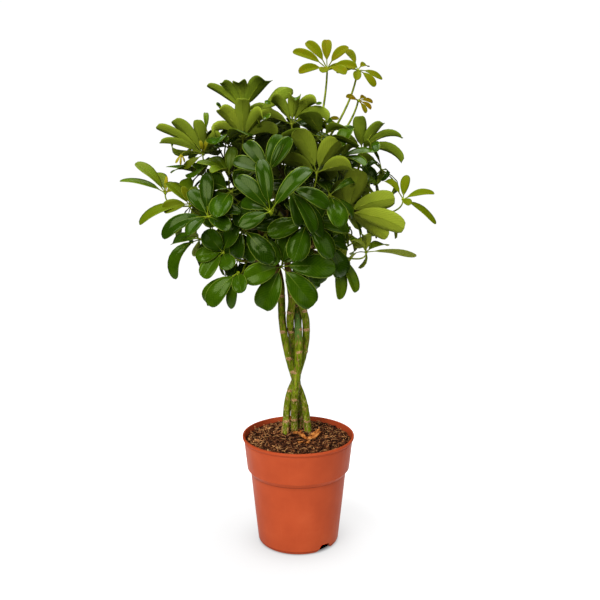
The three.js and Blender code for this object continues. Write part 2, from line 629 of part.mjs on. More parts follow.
// One leaf as a closed star: the blades in turn around the hub, each grown from the hub's top and
// bottom and from the two valleys beside it
function leafGeometry(leaf) {
  const { facing, hub } = leaf;
  const across = sideways(facing);
  const other = facing.clone().cross(across);
  const turnOf = (blade) => Math.atan2(blade.reach.dot(other), blade.reach.dot(across));
  const blades = [...leaf.blades].sort((a, b) => turnOf(a) - turnOf(b));
  const points = [
    hub.clone().addScaledVector(facing, HUB_HALF_HEIGHT),
    hub.clone().addScaledVector(facing, -HUB_HALF_HEIGHT),
  ];
  const faces = [];
  const valleys = blades.map((blade, i) => {
    const next = blades[(i + 1) % blades.length];
    const gap = (turnOf(next) - turnOf(blade) + 4 * Math.PI) % (2 * Math.PI);
    const middle = turnOf(blade) + gap / 2;
    const valley = hub.clone()
      .addScaledVector(across, HUB_RADIUS * Math.cos(middle))
      .addScaledVector(other, HUB_RADIUS * Math.sin(middle));
    points.push(valley);
    return points.length - 1;
  });
  blades.forEach((blade, i) => {
    const rightValley = valleys[(i + blades.length - 1) % blades.length];
    const leftValley = valleys[i];
    const left = points.length;
    const right = left + 1;
    const keel = left + 2;
    points.push(...bladeRings(blade).flat(), bladePoint(blade, 1, 0));
    const tip = points.length - 1;
    faces.push([0, right, left], [0, left, leftValley], [0, rightValley, right]);
    faces.push([leftValley, left, keel], [right, rightValley, keel]);
    faces.push([1, leftValley, keel], [1, keel, rightValley]);
    for (const [a, b] of [[0, 1], [1, 2], [2, 0]]) {
      for (let ring = left; ring + 3 < tip; ring += 3) {
        faces.push([ring + a, ring + b, ring + 3 + b], [ring + a, ring + 3 + b, ring + 3 + a]);
      }
      faces.push([tip - 3 + a, tip - 3 + b, tip]);
    }
  });
  const geometry = new THREE.BufferGeometry();
  geometry.setFromPoints(points);
  geometry.setIndex(faces.flat());
  return geometry;
}

// Leaves placed by rule, each with a ring of leaflets that droop a little from its hub

let seed = 7;

// Next of a fixed row of random numbers from 0 to 1
function chance() {
  seed = (seed * 1664525 + 1013904223) % 4294967296;
  return seed / 4294967296;
}

function nearestShoot(hub) {
  const names = Object.keys(SHOOTS);
  const gap = (name) => vector(SHOOTS[name].tip).distanceTo(hub);
  return names.reduce((best, name) => (gap(name) < gap(best) ? name : best));
}

function ringOfTips(facing, count, length, turn, droop) {
  const across = RIGHT.clone().addScaledVector(facing, -facing.x).normalize();
  const other = facing.clone().cross(across);
  return Array.from({ length: count }, (_, k) => {
    const angle = toRadians(turn + (360 * k) / count);
    return across.clone().multiplyScalar(Math.cos(angle))
      .addScaledVector(other, Math.sin(angle))
      .multiplyScalar(Math.cos(toRadians(droop)))
      .addScaledVector(facing, -Math.sin(toRadians(droop)))
      .multiplyScalar(length * (0.86 + 0.22 * chance()));
  });
}

function frontLeaves() {
  return FRONT_LEAVES.map((leaf) => ({
    shoot: leaf.shoot,
    hub: vector(leaf.hub),
    facing: vector(leaf.facing).normalize(),
    width: leaf.width,
    tips: leaf.tips.map(vector),
    outline: FULL_OUTLINE,
    turns: FRONT_TURNS,
  }));
}

function ruleLeaves() {
  const leaves = [];
  const add = (hub, facing, count) => {
    const turn = 360 * chance();
    const droop = 4 + 16 * chance();
    const tips = ringOfTips(facing, count, RING_LEAF_LENGTH, turn, droop);
    leaves.push({
      shoot: nearestShoot(hub),
      hub,
      facing,
      width: RING_LEAF_WIDTH,
      tips,
      outline: PLAIN_OUTLINE,
      turns: RING_TURNS,
    });
  };
  for (const ring of BACK_RINGS) {
    const level = Math.sqrt(1 - ring.height * ring.height);
    for (let i = 0; i < ring.count; i += 1) {
      const share = ring.count > 1 ? i / (ring.count - 1) : 0.5;
      const turn = toRadians(THREE.MathUtils.lerp(ring.from, ring.to, share) + 8 * (chance() - 0.5));
      const depth = 0.88 + 0.2 * chance();
      const outward = new THREE.Vector3(
        CROWN_REACH[0] * level * Math.cos(turn) * depth,
        CROWN_REACH[1] * level * Math.sin(turn) * depth,
        CROWN_REACH[2] * ring.height * depth,
      );
      const facing = outward.clone().normalize().multiplyScalar(0.65).addScaledVector(UP, 0.6);
      add(vector(CROWN_CENTRE).add(outward), facing.normalize(), BACK_LEAFLETS);
    }
  }
  for (const { hub, facing } of MIDDLE_LEAVES) {
    add(vector(hub), vector(facing).normalize(), MIDDLE_LEAFLETS);
  }
  return leaves;
}

// Plant: stems, shoots and leaves laid out in turn, each clear of what is already there

function layOutStems() {
  const stems = {};
  for (const [name, points] of Object.entries(STEMS)) {
    const curve = new THREE.CatmullRomCurve3(points.map(vector), false, 'catmullrom', 0.5);
    stems[name] = { curve };
    const samples = [];
    for (let i = 0; i <= STEM_SAMPLES; i += 1) {
      const centre = curve.getPoint(i / STEM_SAMPLES);
      for (const [x, y] of [[0, 0], [1, 0], [-1, 0], [0, 1], [0, -1]]) {
        samples.push(centre.clone().add(new THREE.Vector3(x * STEM_CORE, y * STEM_CORE, 0)));
      }
    }
    take(samples, SHARED);
  }
  return stems;
}

function layOutShoots(stems) {
  const shoots = {};
  for (const [name, { stem, height, tip }] of Object.entries(SHOOTS)) {
    const from = stemPointAt(stems[stem].curve, height);
    const to = vector(tip);
    const span = to.clone().sub(from);
    const sag = -SHOOT_SAG * span.length();
    const by = from.clone().addScaledVector(span, 0.5).addScaledVector(UP, sag);
    const bow = { from, by, to };
    shoots[name] = { stem, bow, leaves: [] };
    take(bowSamples(bow), SHARED);
  }
  return shoots;
}

// All petioles come first, because they are fixed, and then the leaflets, leaf by leaf
function layOutLeaves(shoots) {
  const leaves = [...frontLeaves(), ...ruleLeaves()];
  leaves.forEach((leaf, i) => {
    leaf.owner = i + 1;
    const shoot = shoots[leaf.shoot];
    const share = FIRST_PETIOLE_SHARE - PETIOLE_SPACING * shoot.leaves.length;
    shoot.leaves.push(leaf);
    leaf.petiole = layPetiole(leaf, bowPoint(shoot.bow, Math.max(LAST_PETIOLE_SHARE, share)));
    take(bowSamples(leaf.petiole), leaf.owner);
  });
  for (const leaf of leaves) {
    leaf.blades = layBlades(leaf);
    for (const blade of leaf.blades) {
      take(bladeSamples(blade), leaf.owner);
    }
  }
  for (const shoot of Object.values(shoots)) {
    shoot.leaves = shoot.leaves.filter((leaf) => leaf.blades.length > 0);
  }
}

function bowRod(bow, steps, from, to, sides) {
  const centres = [];
  for (let i = 0; i <= steps; i += 1) {
    centres.push(bowPoint(bow, i / steps));
  }
  const radii = centres.map((_, i) => THREE.MathUtils.lerp(from, to, i / steps));
  return rod(centres, radii, sides);
}

// One shoot with its petioles and leaves, in one body that ends just clear of its stem
function buildShoot(shoot, stems) {
  let solid = toSolid(bowRod(shoot.bow, SHOOT_STEPS, SHOOT_RADIUS, SHOOT_TIP_RADIUS, SHOOT_SIDES));
  for (const leaf of shoot.leaves) {
    const petiole = bowRod(
      leaf.petiole, PETIOLE_STEPS, PETIOLE_RADIUS, PETIOLE_END_RADIUS, PETIOLE_SIDES,
    );
    solid = solid.add(toSolid(petiole)).add(toSolid(leafGeometry(leaf)));
  }
  solid = solid.subtract(toSolid(stemRod(stems[shoot.stem].curve, CLEARANCE)));
  const bodies = solid.decompose();
  return bodies.reduce((best, body) => (body.volume() > best.volume() ? body : best));
}

// Assembly

const finishes = {
  plastic: { color: '#bf5a33', roughness: 0.5, metalness: 0 },
  mix: { color: '#4a3120', roughness: 0.95, metalness: 0 },
  bark: { color: '#5f7014', roughness: 0.65, metalness: 0 },
  leaf: { color: '#35591a', roughness: 0.4, metalness: 0 },
};

function addPiece(group, name, solid, finish) {
  const geometry = toGeometry(solid).toNonIndexed();
  geometry.computeVertexNormals();
  const piece = new THREE.Mesh(geometry, new THREE.MeshStandardMaterial(finishes[finish]));
  piece.name = name;
  group.add(piece);
}

const stems = layOutStems();
const shoots = layOutShoots(stems);
layOutLeaves(shoots);

const plant = new THREE.Group();
addPiece(plant, 'pot', buildPot(), 'plastic');
addPiece(plant, 'soil', buildSoil(stems), 'mix');
for (const [name, stem] of Object.entries(stems)) {
  addPiece(plant, name, toSolid(stemRod(stem.curve, 0)), 'bark');
}
for (const [name, shoot] of Object.entries(shoots)) {
  addPiece(plant, name, buildShoot(shoot, stems), 'leaf');
}

export default plant;
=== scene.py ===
# Potted umbrella plant: four stems braided together in a plastic nursery pot, under a round crown
# of leaves with their leaflets spread like the ribs of an umbrella. The sizes are in millimetres,
# as the plant was measured, and MM turns them to Blender's metres where a mesh is made.
import math

import bpy
import numpy as np
from mathutils import Euler, Matrix, Vector, noise


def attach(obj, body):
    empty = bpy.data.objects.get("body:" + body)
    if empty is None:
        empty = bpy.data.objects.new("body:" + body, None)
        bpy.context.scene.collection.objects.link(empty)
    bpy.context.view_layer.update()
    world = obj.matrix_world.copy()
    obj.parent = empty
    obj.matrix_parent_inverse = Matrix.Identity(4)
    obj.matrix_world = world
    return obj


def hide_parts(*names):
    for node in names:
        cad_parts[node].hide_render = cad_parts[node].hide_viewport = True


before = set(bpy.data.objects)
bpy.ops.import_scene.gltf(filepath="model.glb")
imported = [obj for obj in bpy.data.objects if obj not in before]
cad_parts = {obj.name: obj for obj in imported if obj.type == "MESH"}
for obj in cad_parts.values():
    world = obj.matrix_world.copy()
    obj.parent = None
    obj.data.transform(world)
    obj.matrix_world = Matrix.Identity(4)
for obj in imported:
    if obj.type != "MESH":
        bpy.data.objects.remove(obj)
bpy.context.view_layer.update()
MM = 0.001

# Camera
# It stands at the height of the crown, a metre and a half in front, and looks down on the pot.

CAMERA_PLACE = (2.9, -1490.0, 743.0)
CAMERA_PITCH = 12.1
LENS_LENGTH = 55.3
SENSOR_WIDTH = 36.0

camera_data = bpy.data.cameras.new("camera")
camera_data.lens = LENS_LENGTH
camera_data.sensor_width = SENSOR_WIDTH
camera_data.clip_end = 50.0
camera = bpy.data.objects.new("camera", camera_data)
camera.location = Vector(CAMERA_PLACE) * MM
camera.rotation_euler = (math.radians(90 - CAMERA_PITCH), 0, 0)
bpy.context.scene.collection.objects.link(camera)
bpy.context.scene.camera = camera
bpy.context.scene.view_settings.view_transform = "Standard"

# Pot
# A nursery pot, injection moulded in one piece from terracotta-coloured polypropylene: a tapered
# wall, a wide band and a rolled lip above it, and a foot ring cut through by two drain notches.

RIM_RADIUS = 95.0
POT_HEIGHT = 190.0
LIP_FOOT = 186.0
BAND_TOP_RADIUS = 92.9
BAND_FOOT_RADIUS = 87.3
BAND_FOOT = 133.5
WALL_TOP_RADIUS = 81.4
WALL_TOP = 125.5
WALL_FOOT_RADIUS = 69.6
WALL_FOOT = 9.0
FOOT_RADIUS = 64.0
FOOT_INNER_RADIUS = 56.0
WALL_THICKNESS = 2.0
FLOOR_UNDERSIDE = 4.0
FLOOR_TOP = 6.5
PAD_RADIUS = 14.0
GROOVE_DEPTH = 0.5
POT_STEPS = 144
POT_EDGE_ROUNDING = 0.5
SHARP_EDGE = math.radians(28)
SMOOTH_EDGE = math.radians(30)
NOTCH_TURNS = (-49, 131)
NOTCH_WIDTH_BELOW = 36.0
NOTCH_WIDTH_ABOVE = 15.0
NOTCH_FOOT = -1.0
NOTCH_HEIGHT = 12.5
NOTCH_START = 54.0
NOTCH_DEPTH = 24.0
# Painted shade in dark lines round the pot: height, half-width, and how dark. They darken the
# crease under the band, the wall close below it where the band shades it, the groove round the foot
# and the one under the lip.
CREASE_SHADES = [(WALL_TOP - 1.5, 4.5, 0.13), (WALL_TOP + 0.3, 1.3, 0.55), (5.2, 1.2, 0.8),
           (LIP_FOOT - 3.2, 0.8, 0.15)]


def to_linear(hex_colour):
    """The linear colour of an sRGB hex value, with full alpha."""
    shares = [int(hex_colour[i:i + 2], 16) / 255 for i in (1, 3, 5)]
    return [c / 12.92 if c <= 0.04045 else ((c + 0.055) / 1.055) ** 2.4 for c in shares] + [1.0]


def add_node(tree, kind, settings=(), output=0):
    """Adds a node with its properties, its ramp's stops, and a value or a link for each socket
    that is named or numbered. Returns one of its outputs, or all of them."""
    made = tree.nodes.new("ShaderNode" + kind)
    for key, value in dict(settings).items():
        if isinstance(value, str) and value.startswith("#"):
            value = to_linear(value)
        if key == "stops":
            ramp = made.color_ramp
            while len(ramp.elements) < len(value):
                ramp.elements.new(1.0)
            for element, (place, colour) in zip(ramp.elements, value):
                element.position = place
                element.color = to_linear(colour)
        elif isinstance(value, bpy.types.NodeSocket):
            tree.links.new(value, made.inputs[key])
        elif isinstance(key, int) or key in made.inputs:
            made.inputs[key].default_value = value
        else:
            setattr(made, key, value)
    return made.outputs if output == "all" or not made.outputs else made.outputs[output]


def new_material(name):
    """A material of that name, and its node tree, which is still empty."""
    made = bpy.data.materials.new(name)
    made.use_nodes = True
    made.node_tree.nodes.clear()
    return made, made.node_tree


def new_primitive(add, **settings):
    """A mesh primitive from one of Blender's own, selected alone."""
    bpy.ops.object.select_all(action="DESELECT")
    add(**settings)
    return bpy.context.object


def select_only(*pieces):
    """Selects these objects alone, with the first one active."""
    bpy.ops.object.select_all(action="DESELECT")
    for piece in pieces:
        piece.select_set(True)
    bpy.context.view_layer.objects.active = pieces[0]


def join_pieces(name, pieces):
    """Makes one object of that name of all the pieces."""
    select_only(*pieces)
    bpy.ops.object.join()
    pieces[0].name = name
    return pieces[0]


def apply_modifier(piece, kind, settings):
    """Adds a modifier with these settings and applies it."""
    modifier = piece.modifiers.new(kind.lower(), kind)
    for key, value in settings.items():
        setattr(modifier, key, value)
    select_only(piece)
    bpy.ops.object.modifier_apply(modifier=modifier.name)


def spin_outline(name, outline, steps):
    """A body turned about the upright axis from an outline of (radius, height) points."""
    piece = new_primitive(bpy.ops.mesh.primitive_plane_add, size=MM)
    piece.name = name
    bpy.ops.object.mode_set(mode="EDIT")
    bpy.ops.mesh.merge(type="CENTER")
    place = Vector((0, 0, 0))
    for i, (radius, height) in enumerate(outline):
        target = Vector((radius, 0, height)) * MM
        move = target - place
        if i == 0:
            bpy.ops.transform.translate(value=move)
        else:
            bpy.ops.mesh.extrude_region_move(TRANSFORM_OT_translate={"value": move})
        place = target
    bpy.ops.mesh.select_all(action="SELECT")
    bpy.ops.mesh.spin(steps=steps, angle=2 * math.pi, center=(0, 0, 0), axis=(0, 0, 1))
    bpy.ops.mesh.select_all(action="SELECT")
    bpy.ops.mesh.remove_doubles(threshold=0.01 * MM)
    bpy.ops.mesh.normals_make_consistent(inside=False)
    bpy.ops.object.mode_set(mode="OBJECT")
    return piece


# The outline runs out along the underside, up the outer face, over the lip and down the inner face
corner = WALL_FOOT_RADIUS - FOOT_RADIUS
pot_outline = [
    (0, 0), (PAD_RADIUS, 0), (PAD_RADIUS + 1, FLOOR_UNDERSIDE),
    (FOOT_INNER_RADIUS - 3, FLOOR_UNDERSIDE), (FOOT_INNER_RADIUS, 0), (FOOT_RADIUS, 0),
    (FOOT_RADIUS + 0.3 * corner, 0.5), (FOOT_RADIUS + 0.55 * corner, 1.6),
    (FOOT_RADIUS + 0.76 * corner, 3.2), (FOOT_RADIUS + 0.86 * corner, 4.5),
    (FOOT_RADIUS + 0.84 * corner, 5.0), (FOOT_RADIUS + 0.92 * corner, 5.6),
    (WALL_FOOT_RADIUS, WALL_FOOT), (WALL_TOP_RADIUS, WALL_TOP), (BAND_FOOT_RADIUS, BAND_FOOT),
    (BAND_TOP_RADIUS - 0.5, LIP_FOOT - 4.4), (BAND_TOP_RADIUS - 0.4 - GROOVE_DEPTH, LIP_FOOT - 3.6),
    (BAND_TOP_RADIUS - 0.3, LIP_FOOT - 2.8), (BAND_TOP_RADIUS, LIP_FOOT - 1),
    (RIM_RADIUS - 0.6, LIP_FOOT - 0.5), (RIM_RADIUS, LIP_FOOT + 0.3),
    (RIM_RADIUS, POT_HEIGHT - 1.3), (RIM_RADIUS - 0.4, POT_HEIGHT - 0.4),
    (RIM_RADIUS - 1.3, POT_HEIGHT), (RIM_RADIUS - 2.4, POT_HEIGHT),
    (RIM_RADIUS - 3.3, POT_HEIGHT - 0.6),
    (BAND_TOP_RADIUS - WALL_THICKNESS, LIP_FOOT - 2),
    (BAND_FOOT_RADIUS - WALL_THICKNESS, BAND_FOOT + 1),
    (WALL_TOP_RADIUS - WALL_THICKNESS, WALL_TOP + 1),
    (WALL_FOOT_RADIUS - WALL_THICKNESS + 0.3, FLOOR_TOP + 6),
    (FOOT_RADIUS - WALL_THICKNESS, FLOOR_TOP), (0, FLOOR_TOP),
]
pot = spin_outline("nursery_pot", pot_outline, POT_STEPS)

for notch_turn in NOTCH_TURNS:
    cutter = new_primitive(bpy.ops.mesh.primitive_cube_add, size=1)
    radial_turn = math.radians(notch_turn)
    for vertex in cutter.data.vertices:
        radial = NOTCH_START + (vertex.co.x + 0.5) * NOTCH_DEPTH
        above = vertex.co.z > 0
        across = vertex.co.y * (NOTCH_WIDTH_ABOVE if above else NOTCH_WIDTH_BELOW)
        vertex.co = Vector((
            radial * math.cos(radial_turn) - across * math.sin(radial_turn),
            radial * math.sin(radial_turn) + across * math.cos(radial_turn),
            NOTCH_HEIGHT if above else NOTCH_FOOT,
        )) * MM
    apply_modifier(pot, "BOOLEAN", {"operation": "DIFFERENCE", "object": cutter, "solver": "EXACT"})
    bpy.data.objects.remove(cutter)

apply_modifier(pot, "BEVEL", {
    "width": POT_EDGE_ROUNDING * MM, "segments": 2,
    "limit_method": "ANGLE", "angle_limit": SHARP_EDGE,
})
bpy.ops.object.shade_smooth_by_angle(angle=SMOOTH_EDGE)

# Polypropylene from the mould: an even dull sheen, with faint clouds in the colour and fine
# upright rub marks from the pots that were stacked in it.
moulded_plastic, tree = new_material("moulded_polypropylene")
object_place = add_node(tree, "TexCoord", output="Object")
clouds = add_node(tree, "TexNoise", {"Vector": object_place, "Scale": 22.0, "Detail": 3.0})
colour = add_node(tree, "ValToRGB", {
    "Fac": clouds, "stops": [(0.3, "#a34222"), (0.55, "#ab4725"), (0.75, "#b24e2a")],
})
rub_place = add_node(tree, "Mapping", {"Vector": object_place, "Scale": (160.0, 160.0, 9.0)})
rubs = add_node(tree, "TexNoise", {"Vector": rub_place, "Scale": 1.0, "Detail": 4.0})
rub_share = add_node(tree, "MapRange", {
    "Value": rubs, "From Min": 0.6, "From Max": 0.8, "To Max": 0.08,
})
colour = add_node(tree, "Mix", {"data_type": "RGBA", 0: rub_share, 6: colour, 7: "#c87450"}, 2)
height = add_node(tree, "SeparateXYZ", {"Vector": object_place}, "Z")
# Painted shade: the pot is darkened along these lines
for crease, half_width, depth in CREASE_SHADES:
    off = add_node(tree, "Math", {"operation": "SUBTRACT", 0: height, 1: crease * MM})
    off = add_node(tree, "Math", {"operation": "ABSOLUTE", 0: off})
    crease_shade_share = add_node(tree, "MapRange", {
        "Value": off, "From Min": 0.3 * half_width * MM, "From Max": half_width * MM,
        "To Min": depth, "To Max": 0.0,
    })
    colour = add_node(tree, "Mix", {
        "data_type": "RGBA", 0: crease_shade_share, 6: colour, 7: "#6e2712",
    }, 2)
roughness = add_node(tree, "MapRange", {
    "Value": rubs, "From Min": 0.3, "From Max": 0.7, "To Min": 0.36, "To Max": 0.52,
})
# Grain of the mould's spark-eroded face, drawn at 1 mm so that it shows
grain = add_node(tree, "TexNoise", {"Vector": object_place, "Scale": 1000.0, "Detail": 2.0})
bump = add_node(tree, "Bump", {"Height": grain, "Strength": 0.12, "Distance": 0.0003})
add_node(tree, "OutputMaterial", {"Surface": add_node(tree, "BsdfPrincipled", {
    "Base Color": colour, "Roughness": roughness, "Normal": bump, "IOR": 1.49,
    "Specular IOR Level": 0.06,
})})
pot.data.materials.append(moulded_plastic)
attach(pot, "root")
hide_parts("pot")

# Potting mix
# The plug of coir, peat and bark that the roots hold together. It fills the pot to a finger's
# width under the rim, is heaped a little round the stems, and its top is loose crumbs.

SOIL_EDGE = 178.0
SOIL_MOUND = 9.0
SOIL_RELIEF = 1.6
# Two waves that cross in the mix's surface: how fast each turns along X and along Y, and its start
SOIL_WAVES = [(0.31, 0.11, 0.0), (-0.07, 0.27, 1.3)]
TRUNK_Y = 20.0
SOIL_STEPS = 180
SOIL_RINGS = 64
SOIL_GAP = 0.6
CRUMB_SIZE = 7.0
CRUMB_HEIGHT = 2.6
GRIT_SIZE = 2.6
GRIT_HEIGHT = 1.1
GRIT_LEVEL = 5


def soil_top(x, y):
    """Height of the mix at a place, before its crumbs."""
    away = math.hypot(x, y - TRUNK_Y) / RIM_RADIUS
    mound = SOIL_MOUND * max(0.0, 1 - away * away)
    lumps = math.prod(math.sin(by_x * x + by_y * y + start) for by_x, by_y, start in SOIL_WAVES)
    return SOIL_EDGE + mound + SOIL_RELIEF * lumps


def crumbs(x, y):
    """What the crumbs add to that height: cells for the crumbs and finer noise for the grit."""
    cell = noise.voronoi(Vector((x, y, 0)) / CRUMB_SIZE)[0]
    grit = noise.noise(Vector((x, y, GRIT_LEVEL)) / GRIT_SIZE)
    return CRUMB_HEIGHT * (0.5 - cell[0]) + GRIT_HEIGHT * grit


soil_radius = BAND_FOOT_RADIUS + (BAND_TOP_RADIUS - BAND_FOOT_RADIUS) * (
    (SOIL_EDGE - BAND_FOOT) / (POT_HEIGHT - BAND_FOOT)) - WALL_THICKNESS - SOIL_GAP
soil_outline = [
    (0, FLOOR_TOP + 0.3), (FOOT_RADIUS - WALL_THICKNESS - 1, FLOOR_TOP + 0.3),
    (WALL_FOOT_RADIUS - WALL_THICKNESS, FLOOR_TOP + 7),
    (WALL_TOP_RADIUS - WALL_THICKNESS - SOIL_GAP, WALL_TOP + 1),
    (BAND_FOOT_RADIUS - WALL_THICKNESS - SOIL_GAP, BAND_FOOT + 2.5),
] + [(soil_radius * i / SOIL_RINGS, SOIL_EDGE) for i in range(SOIL_RINGS, -1, -1)]
soil = spin_outline("potting_mix", soil_outline, SOIL_STEPS)
for vertex in soil.data.vertices:
    if vertex.co.z > (SOIL_EDGE - 1) * MM:
        x, y = vertex.co.x / MM, vertex.co.y / MM
        vertex.co.z = (soil_top(x, y) + crumbs(x, y)) * MM
bpy.ops.object.shade_smooth()

# Damp coir and peat: dark red-brown crumbs, matt, with paler dry grains among them.
crumbled_mix, tree = new_material("coir_and_peat_mix")
object_place = add_node(tree, "TexCoord", output="Object")
# Crumbs of about 4 mm, and grains of under 1 mm drawn at 1.5 mm so that they show
large = add_node(tree, "TexNoise", {
    "Vector": object_place, "Scale": 250.0, "Detail": 5.0, "Roughness": 0.7,
})
colour = add_node(tree, "ValToRGB", {
    "Fac": large,
    "stops": [(0.36, "#0e0704"), (0.5, "#331a0e"), (0.62, "#6a3e24"), (0.74, "#a87246")],
})
small = add_node(tree, "TexNoise", {"Vector": object_place, "Scale": 700.0, "Detail": 4.0})
bump = add_node(tree, "Bump", {"Height": small, "Strength": 0.8, "Distance": 0.001})
add_node(tree, "OutputMaterial", {"Surface": add_node(tree, "BsdfPrincipled", {
    "Base Color": colour, "Normal": bump, "Roughness": 0.95, "IOR": 1.4, "Specular IOR Level": 0.15,
})})
soil.data.materials.append(crumbled_mix)
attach(soil, "root")
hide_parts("soil")

# Stems
# Four young stems that were planted together and braided while they were soft. Their bark is
# still green, with a raised tan scar wherever a leaf fell, and turns brown up in the crown.

STEM_RADIUS = 6.2
STEM_TOP_RADIUS = 4.6
STEM_THINS_FROM = 430.0
STEM_THINS_TO = 575.0
STEM_SIDES = 24
STEM_STEPS = 300
# Centre lines from inside the mix to the crown
STEMS = {
    "stem_left": [
        (18, 24, 120), (17, 24, 178), (14.4, 22, 210), (7.9, 20, 245), (-3.3, 12, 278),
        (-14.6, 12, 316), (-22, 11.4, 351), (-26.9, 14, 386), (-28, 16, 420), (-30, 14, 454),
        (-40, 8, 490), (-58, 0, 530), (-72, -6, 575),
    ],
    "stem_front": [
        (-7.2, 24, 120), (-7.2, 24, 178), (-7.2, 19, 210), (-6, 9, 245), (-3.6, -2, 278),
        (-0.4, -3, 316), (0.8, 2, 351), (-0.8, 14, 386), (-2.3, 26, 420), (-5, 34, 454),
        (0, 44, 490), (8, 55, 530), (14, 62, 575),
    ],
    "stem_right": [
        (-23.2, 14, 120), (-23.2, 14, 178), (-20.8, 18, 210), (-17, 24, 245), (-5.8, 25.5, 278),
        (6.4, 24, 316), (12.6, 20, 351), (12.5, 10, 386), (5, 8, 420), (2, 16, 454),
        (12, 14, 490), (32, 10, 530), (52, 6, 575),
    ],
    "stem_back": [
        (3, 40, 120), (3, 40, 178), (2, 39, 210), (0, 38, 245), (-3, 39, 278), (-6, 35, 316),
        (-10.3, 25.5, 351), (-13.6, 8, 386), (-10.7, 3, 420), (-14, 1, 454), (-18, -6, 490),
        (-22, -24, 530), (-20, -42, 575),
    ],
}
# Leaf scars: height, and the side that each is on, in degrees from the right, with -90 in front
SCARS = {
    "stem_left": [
        (206, -95), (232, 40), (262, -150), (298, -70), (321, -85), (367, -120), (398, 10),
        (428, -60), (470, 150), (505, -40),
    ],
    "stem_front": [
        (210, -85), (250, -105), (276, 20), (300, -160), (336, -75), (372, -20), (410, -110),
        (450, 60), (492, -60),
    ],
    "stem_right": [
        (208, -80), (260, -125), (292, -60), (330, 10), (371, -80), (404, -55), (436, -100),
        (472, -60), (512, -120),
    ],
    "stem_back": [
        (205, -60), (240, 60), (275, 150), (318, 30), (366, -85), (402, -130), (431, -60),
        (470, -100), (508, -75),
    ],
}
SCAR_HALF_HEIGHT = 2.6
SCAR_HALF_WIDTH = 66.0
SCAR_RELIEF = 0.6
BARK_RELIEF = 0.45
# How fast that relief changes round a stem, and the size of its patches along it
BARK_ROUND = 1.6
BARK_PATCH = 9
SCAR_EDGE = (-0.35, 0.5)
# Painted shade, in brown, where a stem lies close to its neighbour: the gap within which it falls,
# how uneven that is and in what size
CLOSE_SHADE_REACH = 4.2
CLOSE_SHADE_UNEVEN = 2.2
CLOSE_SHADE_PATCH = 4
# Points along each other stem that bark is measured from, to tell where shade is painted on it
NEIGHBOUR_STEPS = 150
# Heights between which the bark turns brown, and how uneven its edge is and in what size
BROWN_FROM = 405
BROWN_TO = 470
BROWN_UNEVEN = 14
BROWN_PATCH = 9
BROWN_DEPTH = 0.85
# The front stem's fresh stretch: heights where it starts and is full, and starts to end and ends
FRESH_HEIGHTS = (345, 372, 392, 410)
# A direction counts as upright when its Z is over this
UPRIGHT = 0.8


def smooth_step(value, low, high):
    """0 below low, 1 above high, and an even curve between them."""
    share = min(max((value - low) / (high - low), 0.0), 1.0)
    return share * share * (3 - 2 * share)


def curve_point(points, share):
    """A point of the smooth line through the points, which leaves each along its neighbours."""
    last = len(points) - 1
    place = last * share
    index = min(int(math.floor(place)), last - 1)
    rest = place - index
    one = points[index]
    two = points[index + 1]
    before = points[index - 1] if index > 0 else 2 * points[0] - points[1]
    after = points[index + 2] if index + 2 <= last else 2 * points[last] - points[last - 1]
    start = 0.5 * (two - before)
    end = 0.5 * (after - one)
    square = -3 * one + 3 * two - 2 * start - end
    cube = 2 * one - 2 * two + start + end
    return one + start * rest + square * rest * rest + cube * rest * rest * rest


def places_of(mesh):
    """The places of a mesh's points, in metres."""
    flat = np.zeros(len(mesh.vertices) * 3)
    mesh.vertices.foreach_get("co", flat)
    return flat.reshape(-1, 3)


def place_round(mesh, centres, ring, turn, radius):
    """Puts a mesh's points round a line: each on its own ring, at its turn and radius. The rings
    stand square to the line and don't twist round it."""
    along = np.gradient(centres, axis=0)
    along /= np.linalg.norm(along, axis=1)[:, None]
    base = (0.0, 1.0, 0.0) if abs(along[0][2]) > UPRIGHT else (0.0, 0.0, 1.0)
    side = np.cross(base, along[0])
    sides = np.zeros(centres.shape)
    for i, ahead in enumerate(along):
        side = side - ahead * side.dot(ahead)
        side /= np.linalg.norm(side)
        sides[i] = side
    others = np.cross(along, sides)
    places = centres[ring] + radius[:, None] * (
        np.cos(turn)[:, None] * sides[ring] + np.sin(turn)[:, None] * others[ring])
    mesh.vertices.foreach_set("co", (places * MM).ravel())
    mesh.update()


def rolled_tube(name, centres, radii, sides, material, relief=None):
    """A closed round piece along the centres, rolled up from a flat grid, with its own UV map:
    U runs around it and V along it. relief(i, turn) adds to the radius of ring i."""
    rings = len(centres)
    piece = new_primitive(
        bpy.ops.mesh.primitive_grid_add, x_subdivisions=sides, y_subdivisions=rings - 1, size=2)
    piece.name = name
    flat = places_of(piece.data)
    ring = np.rint((flat[:, 1] + 1) / 2 * (rings - 1)).astype(int)
    turn = (flat[:, 0] + 1) * math.pi
    radius = np.array(radii, float)[ring]
    if relief is not None:
        radius = radius + np.array([relief(i, t) for i, t in zip(ring, turn)])
    place_round(piece.data, np.array(centres, float), ring, turn, radius)
    bpy.ops.object.mode_set(mode="EDIT")
    bpy.ops.mesh.select_all(action="SELECT")
    bpy.ops.mesh.remove_doubles(threshold=0.005 * MM)
    bpy.ops.mesh.select_all(action="DESELECT")
    bpy.ops.mesh.select_non_manifold()
    bpy.ops.mesh.edge_face_add()
    bpy.ops.object.mode_set(mode="OBJECT")
    piece.data.materials.append(material)
    bpy.ops.object.shade_smooth()
    return piece
